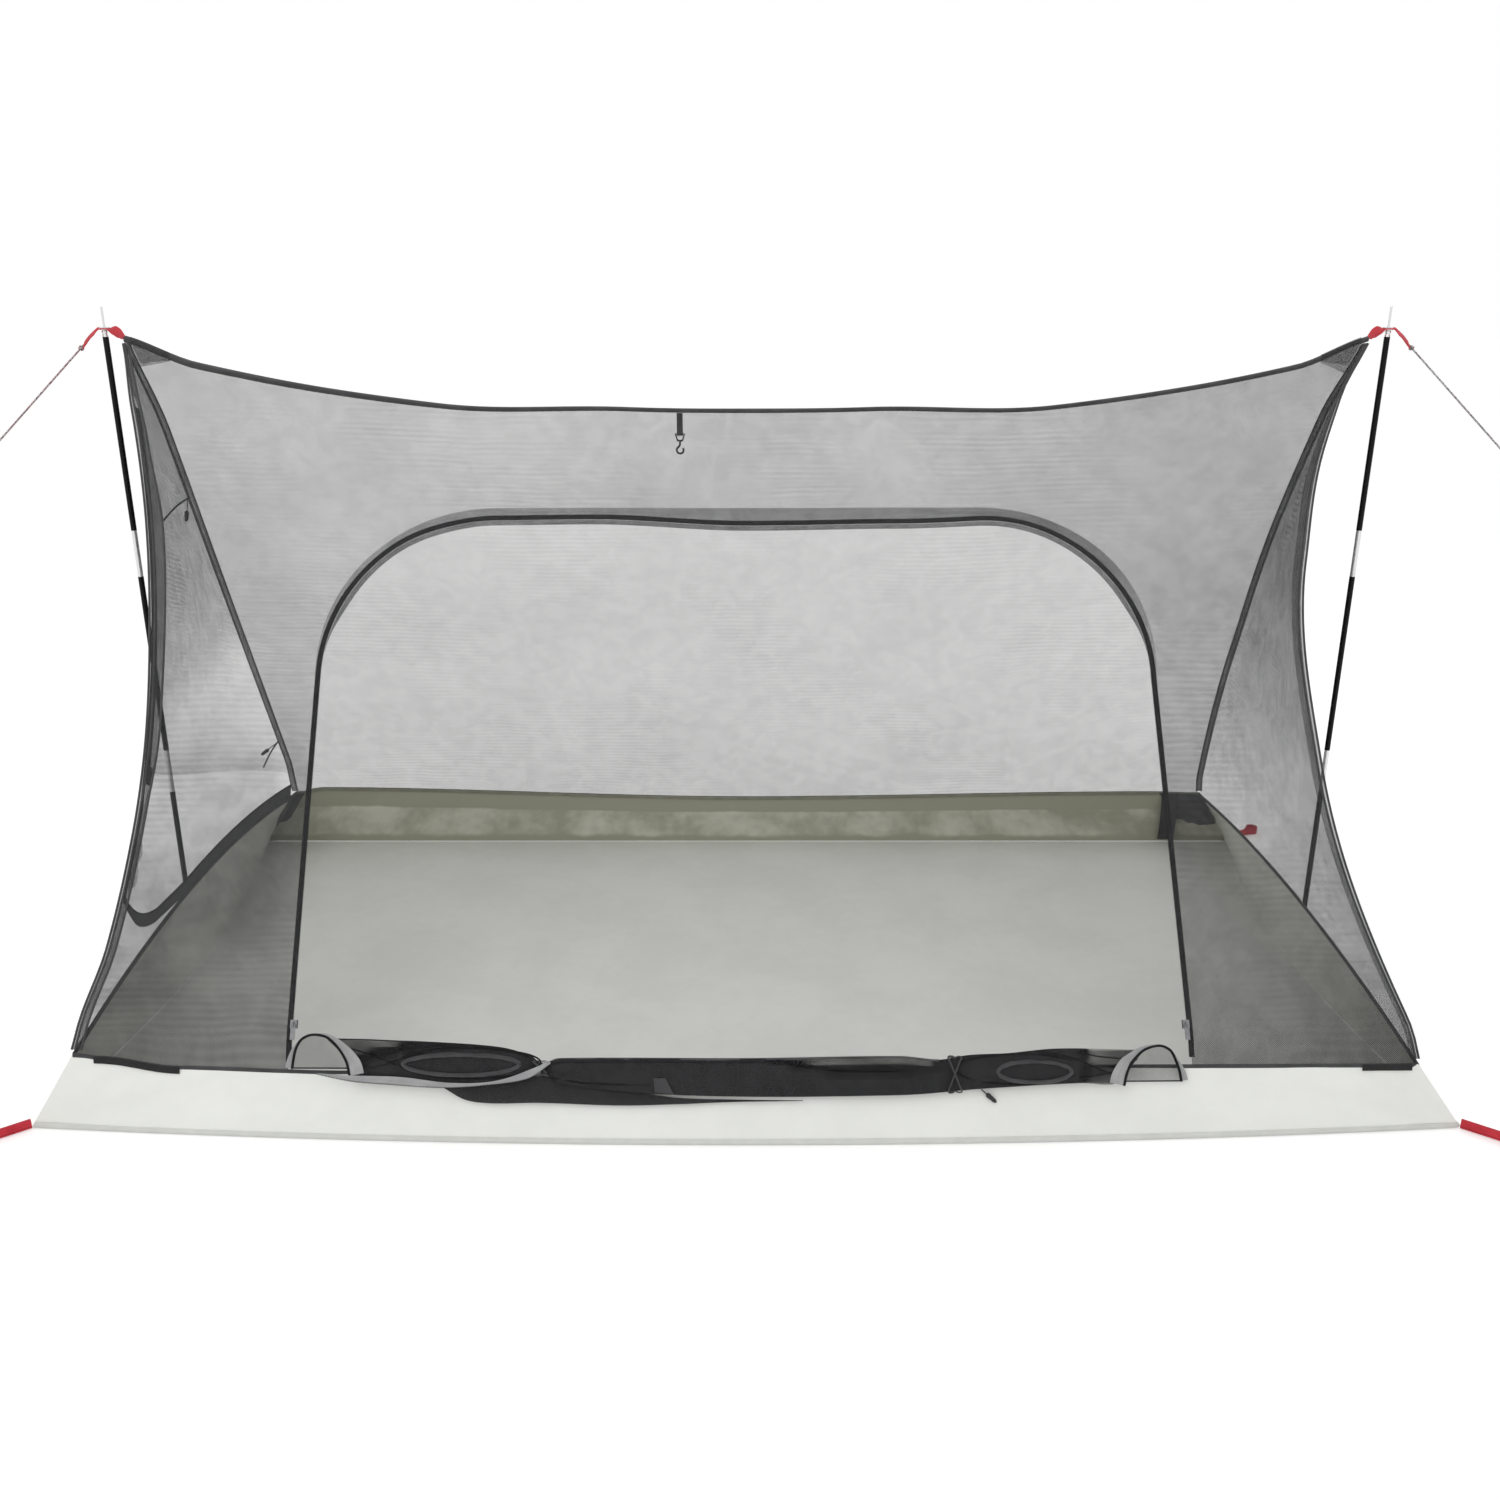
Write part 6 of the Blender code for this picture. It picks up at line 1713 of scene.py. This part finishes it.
def seamSide(v, inset):
    return endPoint(left, 1 - endInset(v, inset), v)


zipEnds = (endDoor["zipLow"], (endDoor["zipLow"] + endDoor["zipTop"]) / 2, endDoor["zipTop"])
arcLow, arcMiddle, arcHigh = (seamSide(v, endDoor["inset"]) for v in zipEnds)
arcCentre, arcAxis = circleThrough(arcLow, arcMiddle, arcHigh)
arcSweep = (arcLow - arcCentre).angle(arcHigh - arcCentre)


def zipArc(t):
    place = arcCentre + Matrix.Rotation(arcSweep * t, 3, arcAxis) @ (arcLow - arcCentre)
    along = arcAxis.cross(place - arcCentre).normalized()
    across = along.cross(Vector((-1, 0, 0))).normalized()
    return place, across, across.cross(along).normalized()


doorward = 1 if zipArc(0.5)[1].dot(endPoint(left, 0.5, 0.6) - zipArc(0.5)[0]) > 0 else -1


def hemHeight(u):
    return lerp(endDoor["hemBack"], endDoor["hemFront"], u)


def endDoorSpot(column, v, lift=0.0):
    far = endDoor["inset"] + door["coilOffset"] + endDoor["tape"] * 0.5
    far = lerp(far, panels["tuck"], smooth((v - endDoor["zipTop"]) / 0.03))
    u = lerp(endInset(v, panels["tuck"]), 1 - endInset(v, far), column)
    place = endPoint(left, u, v)
    return place + endNormal(left, u, v) * lift if lift else place


def makeEndDoor():
    def spot(along, up):
        place = endDoorSpot(along, lerp(hemHeight(along), endDoor["top"], up))
        wave = panels["endWave"] * inward(along, up, 0.1) * ripple(place, 0.14, 3.5)
        return place + Vector((wave, 0, 0))

    flat, grid = lambda a, u: (a * 1.0, u * 0.98), panels["leftGrid"]
    panel = hangPanel("endDoorMesh", grid, spot, flat, blackNet, endLight, "end_door_mesh")
    low = endDoor["zipLow"]
    start = (endDoor["hemFront"] - endDoor["tail"] - low) / (endDoor["zipTop"] - low)
    path, tape = [], []
    for t in spread(70):
        place, across, _ = zipArc(lerp(start, 1, t))
        path.append(place + across * (doorward * door["coilOffset"]))
        tape.append([path[-1] + across * (doorward * endDoor["tape"] * k) for k in spread(2)])
    settle(strip("endDoorTape", tape, endDoor["tape"], 0.0008, [darkTape]), "black_tape", "end_door_half")
    coil("endDoorCoil", path, door["coilRadius"], "end_door_half")


def hookLine(count):
    # Along the rim from the back, then bent up to the front seam and along it.
    def level(u):
        return endRimShare(left, u, endDoor["band"] + endDoor["lift"] * faded(u, *endDoor["lifts"]))

    start, join = endDoor["hookStart"], endDoor["hookJoin"]
    us = [lerp(endDoor["zipStart"], start, t) for t in spread(count)[:-1]]
    places = [(u, level(u)) for u in us]
    bead = endDoor["inset"] + door["coilOffset"]
    seamU = 1 - endInset(join, bead)
    for t in spread(count):
        places.append((lerp(start, seamU, t), lerp(level(start), join, t ** endDoor["hookCurve"])))
    for t in spread(12)[1:-1]:
        v = lerp(join, endDoor["zipLow"], t)
        places.append((1 - endInset(v, bead), v))
    return places


def makeEndZip():
    count = 40
    places = hookLine(count)
    path = [endPoint(left, *place) for place in places]
    outs = [endNormal(left, *place) for place in places]
    for t in spread(72):
        place, across, out = zipArc(t)
        path.append(place - across * (doorward * door["coilOffset"]))
        outs.append(out)
    narrow = endDoor["inset"] - endDoor["narrow"] - door["coilOffset"]
    centre = endPoint(left, 0.5, 0.5)
    tape, last = [], len(path) - 1
    for i, (spot, out) in enumerate(zip(path, outs)):
        way = (path[min(i + 1, last)] - path[max(i - 1, 0)]).normalized()
        across = way.cross(out).normalized()
        across = -across if across.dot(centre - spot) > 0 else across
        width = lerp(endDoor["band"], narrow, faded(i, count, 2 * count))
        crumple = out * (endDoor["crumple"] * ripple(spot, 0.03, 6.0))
        tape.append([spot + across * (width * k) + crumple * math.sin(math.pi * k) for k in spread(4)])
    settle(strip("endZipTape", tape, endDoor["band"], 0.0010, [darkTape]), "black_tape", "end_zip_half")
    coil("endZipCoil", path, door["coilRadius"], "end_zip_half")


def makeGather():
    # The slack net is rolled into a bunch that hangs from the hem by the zip.
    steps, path = gather["steps"], []
    for t in spread(steps):
        v = lerp(gather["high"], gather["low"], t)
        u = 1 - endInset(v, endDoor["inset"] + 0.008 + 0.003 * math.sin(9 * t))
        path.append(endPoint(left, u, v) - endNormal(left, u, v) * 0.003)
    about = roundPath(path)
    fuller, width = gather["lumpSize"]

    def spot(t, run):
        lumps = fuller * sum(bump(t, at, width) for at in gather["lumps"])
        full = gather["radius"] * (gather["slim"] + lumps) * lerp(1.0, 0.35, faded(t, 0.95, 1.0))
        angle = fullTurn * gather["turns"] * run
        folds = math.cos(4 * angle + 3 * t) + 0.6 * math.cos(7 * angle - 5 * t)
        return about(round(t * steps), angle, full * lerp(0.10, 1.0, run) * (1 + 0.20 * folds * run))

    flat = lambda a, u: (u * gather["flatWidth"], a * 0.185)
    columns, light = gather["turns"] * 18, gather["light"]
    bunch = gridSkin("endDoorGathered", steps, columns, spot, flat, [bundleNet], light)
    thicken(bunch, gather["thickness"], angle=70, even=False)
    settle(bunch, "black_mesh", "end_door_gathered")


makeEndDoor()
makeEndZip()
makeGather()
print("left end is zipped")

# Red straps: one over each pole's spike, and a loop at each pegged corner.
strap = {
    "root": 0.0009,
    "thickness": 0.0018,
    "width": 0.020,
    "reach": 0.038,
    "drop": 0.026,
    "flat": 0.0091,
    "crown": 0.003,
    "sway": 0.002,
    "steps": (18, 18, 26),
    "pinch": (0.42, 0.72, 0.92),
    "curl": 0.0016,
    "rib": 0.0004,
    "droop": 0.011,
    "droopRun": (0.006, 0.016),
    "hole": 0.0062,
    "loopRoot": 0.00215,
    "loopLength": 0.100,
    "loopHeight": 0.015,
    "loopEye": 0.012,
    "loopOpening": 140,
    "loopTurn": 37.0,
    "loopLayer": 0.0024,
    "loopCloth": 0.0013,
    "loopWave": 0.0004,
}


def makeApexStrap(side):
    word = sideWords[side]
    poleX, top = tent["poleX"], tent["strapTop"]
    corners = [
        Vector((side * (tent["halfRidge"] + strap["root"]), 0, tent["apexHeight"] + gap)),
        Vector((side * (poleX - strap["flat"]), 0, top)),
        Vector((side * (poleX + strap["flat"]), 0, top)),
        Vector((side * (poleX + strap["reach"]), 0, top - strap["drop"])),
    ]
    path = corners[:1]
    rises = strap["crown"], 0, strap["sway"]
    for start, end, rise, steps in zip(corners, corners[1:], rises, strap["steps"]):
        for t in spread(steps)[1:]:
            path.append(start.lerp(end, t) + Vector((0, 0, rise * math.sin(math.pi * t))))
    last = len(path) - 1
    tight, *tightens = strap["pinch"]

    def spot(along, up):
        i = round(along * last)
        pinch = 1 - tight * faded(along, *tightens)
        curl = strap["curl"] * (1 - pinch) * math.cos(math.pi * (up - 0.5) * 3)
        away = faded(abs(path[i].x - side * poleX), *strap["droopRun"])
        curl += strap["droop"] * (up - 0.5) * away * smooth(along / 0.12)
        rib = strap["rib"] * math.cos(math.pi * 8 * (up - 0.5)) ** 8
        return path[i] + Vector((0, (up - 0.5) * strap["width"] * pinch, curl - rib))

    flat = measured(runLengths(path), strap["width"])
    obj = gridSkin(f"apexStrap{word.title()}", last, 20, spot, flat, [redTape])
    pickOut(obj)
    bpy.ops.object.mode_set(mode="EDIT")
    bpy.ops.mesh.select_all(action="DESELECT")
    bpy.ops.object.mode_set(mode="OBJECT")
    for face in obj.data.polygons:
        face.select = math.hypot(face.center.x - side * poleX, face.center.y) < strap["hole"]
    bpy.ops.object.mode_set(mode="EDIT")
    bpy.ops.mesh.delete(type="FACE")
    bpy.ops.object.mode_set(mode="OBJECT")
    settle(thicken(obj, strap["thickness"] * 0.85), "red_webbing", f"apex_webbing_{word}")


def makeCornerLoop(side, face):
    word = "front" if face == front else "back"
    turn = math.radians(strap["loopTurn"])
    along = Vector((side * math.cos(turn), face * math.sin(turn), 0))
    across = Vector((-along.y, along.x, 0))
    start = Vector((side * tent["halfFloorLength"], face * tent["halfFloorWidth"], gap))
    start += along * strap["loopRoot"]
    eye, centre = strap["loopEye"], strap["loopLength"] - strap["loopEye"]
    half, opening = strap["loopLayer"] / 2, strap["loopOpening"]
    outline = loopOutline(centre - 2.2 * eye, centre, eye, half, opening, 14, 30)
    path = [start + along * a + across * b for a, b in outline]
    lengths, last = runLengths(path), len(path) - 1

    def spot(a, u):
        i = round(a * last)
        wave = strap["loopWave"] * ripple((lengths[i], u * 0.01, 0), 0.02, side + 2 * face)
        return path[i] + Vector((0, 0, 0.0002 + strap["loopHeight"] * u)) + across * wave

    name = f"cornerLoop{word.title()}{sideWords[side].title()}"
    flat = measured(lengths, strap["loopHeight"])
    loop = weld(gridSkin(name, last, 4, spot, flat, [redTape]), capped=False)
    settle(thicken(loop, strap["loopCloth"]), "red_webbing", f"corner_loop_{word}_{sideWords[side]}")


for side in (left, right):
    makeApexStrap(side)
    makeCornerLoop(side, front)
    makeCornerLoop(side, back)
print("red straps are on")

# Small things inside and on the seams.
small = {
    "lanternX": -0.112,
    "strapWidth": 0.010,
    "strapThickness": 0.0012,
    "strapLength": 0.034,
    "eyeOpening": 130,
    "hookWire": 0.0017,
    "toggleRadius": 0.0028,
    "toggleLength": 0.020,
    "toggleCord": 0.0010,
    "toggleRib": 0.06,
    "toggleTip": 0.72,
    "loopCord": 0.0017,
    "seamOffset": 0.0058,
    # Height share, the toggle's way and cord, and the way and length of its loop.
    "toggles": {
        "upper": (0.72, (-0.12, -0.20, -0.97), 0.022, (-0.76, -0.10, -0.64), 0.062),
        "lower": (0.15, (-0.78, -0.20, -0.59), 0.026, (-0.52, -0.15, -0.84), 0.066),
    },
    "sillToggle": ((0.356, 0.0800, 0.004), (0.382, 0.0590, 0.001)),
    "pocketX": 0.952,
    "pocketWidth": 0.036,
    "pocketLength": 0.112,
    "pocketHang": 0.006,
}


def makeLanternStrap():
    x, width = small["lanternX"], small["strapWidth"]
    eye = small["hookWire"] + gap + small["strapThickness"] / 2
    top = ridgeHeight(x) - binding["radius"] - gap
    length, half = small["strapLength"], small["strapThickness"] / 2 + gap / 2
    outline = loopOutline(length - 2.2 * eye, length, eye, half, small["eyeOpening"], 10, 24)
    last = len(outline) - 1

    def spot(a, u):
        down, across = outline[round(a * last)]
        return Vector((x + width * (u - 0.5), -across, top - down))

    flat = lambda a, u: (a * 0.075, u * width)
    obj = weld(gridSkin("lanternStrap", last, 4, spot, flat, [darkTape]), capped=False)
    settle(thicken(obj, small["strapThickness"] * 0.8), "black_tape", "lantern_strap")


def makePocketStrap():
    x, half = small["pocketX"], small["pocketWidth"] / 2
    lines = []
    for t in spread(20):
        y = tent["halfRimWidth"] - 0.0024 - small["pocketHang"] * math.sin(math.pi * t)
        z = tent["wallHeight"] + 0.0016 - small["pocketLength"] * t
        lines.append([Vector((lerp(x - half, x + half, k), y, z)) for k in spread(3)])
    piece = strip("pocketStrap", lines, small["pocketWidth"], small["strapThickness"], [darkTape])
    settle(piece, "black_tape", "pocket_strap")


def makeToggle(name, start, lean, length, node, size):
    lean = lean.normalized()
    end = start + lean * length
    line = [start.lerp(end + lean * 0.004, t) for t in spread(8)]
    settle(tubeSkin(name + "Cord", line, small["toggleCord"], 8, [hardPlastic]), "hard_plastic", node)
    barrel = [end + lean * (small["toggleLength"] * t) for t in spread(16)]

    def radius(i, angle):
        t = i / 16
        rib = 1 + small["toggleRib"] * math.cos(8 * math.pi * t)
        rounded = 0.35 + 0.65 * smooth(min(t, 1 - t) / 0.12)
        return size * small["toggleRadius"] * lerp(1.0, small["toggleTip"], t) * rib * rounded

    settle(tubeSkin(name, barrel, radius, 14, [hardPlastic]), "hard_plastic", node)


def makeToggles():
    for word, (v, lean, length, reach, cord) in small["toggles"].items():
        node = f"tie_toggle_{word}"
        start = seamPoint(left, back, v) - Vector((small["seamOffset"], 0, 0))
        makeToggle(f"tieToggle{word.title()}", start, Vector(lean), length, node, 1.5)
        way = Vector(reach).normalized() * cord
        line = [start + way * t + Vector((0, 0, 0.004 * math.sin(math.pi * t))) for t in spread(14)]
        loop = tubeSkin(f"tieLoop{word.title()}", line, small["loopCord"], 8, [darkTape])
        settle(loop, "hard_plastic", node)
    start, end = (onWall(*spot) for spot in small["sillToggle"])
    makeToggle("sillToggle", start, end - start, 0.010, "sill_toggle", 1.4)


makeLanternStrap()
makePocketStrap()
makeToggles()
print("small parts hang")


# The solids that stay get their full finishes.
def dressSolids():
    finishes = {"end_zip_slider": sliderSteel, "end_zip_pull": sliderSteel, "lantern_hook": hardPlastic}
    bothSides = [
        (blackPaint, ("pole_upper", "pole_middle", "pole_lower")),
        (brightSteel, ("pole_tip", "pole_upper_sleeve", "pole_lower_sleeve", "apex_eyelet")),
        (sliderSteel, ("door_slider", "door_pull")),
        (hardPlastic, ("pole_foot", "shock_cord")),
    ]
    for side in sideWords.values():
        for finish, names in bothSides:
            finishes.update({f"{name}_{side}": finish for name in names})
    for name, finish in finishes.items():
        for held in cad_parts[name].material_slots:
            held.material = finish


dressSolids()
print("solids are finished")
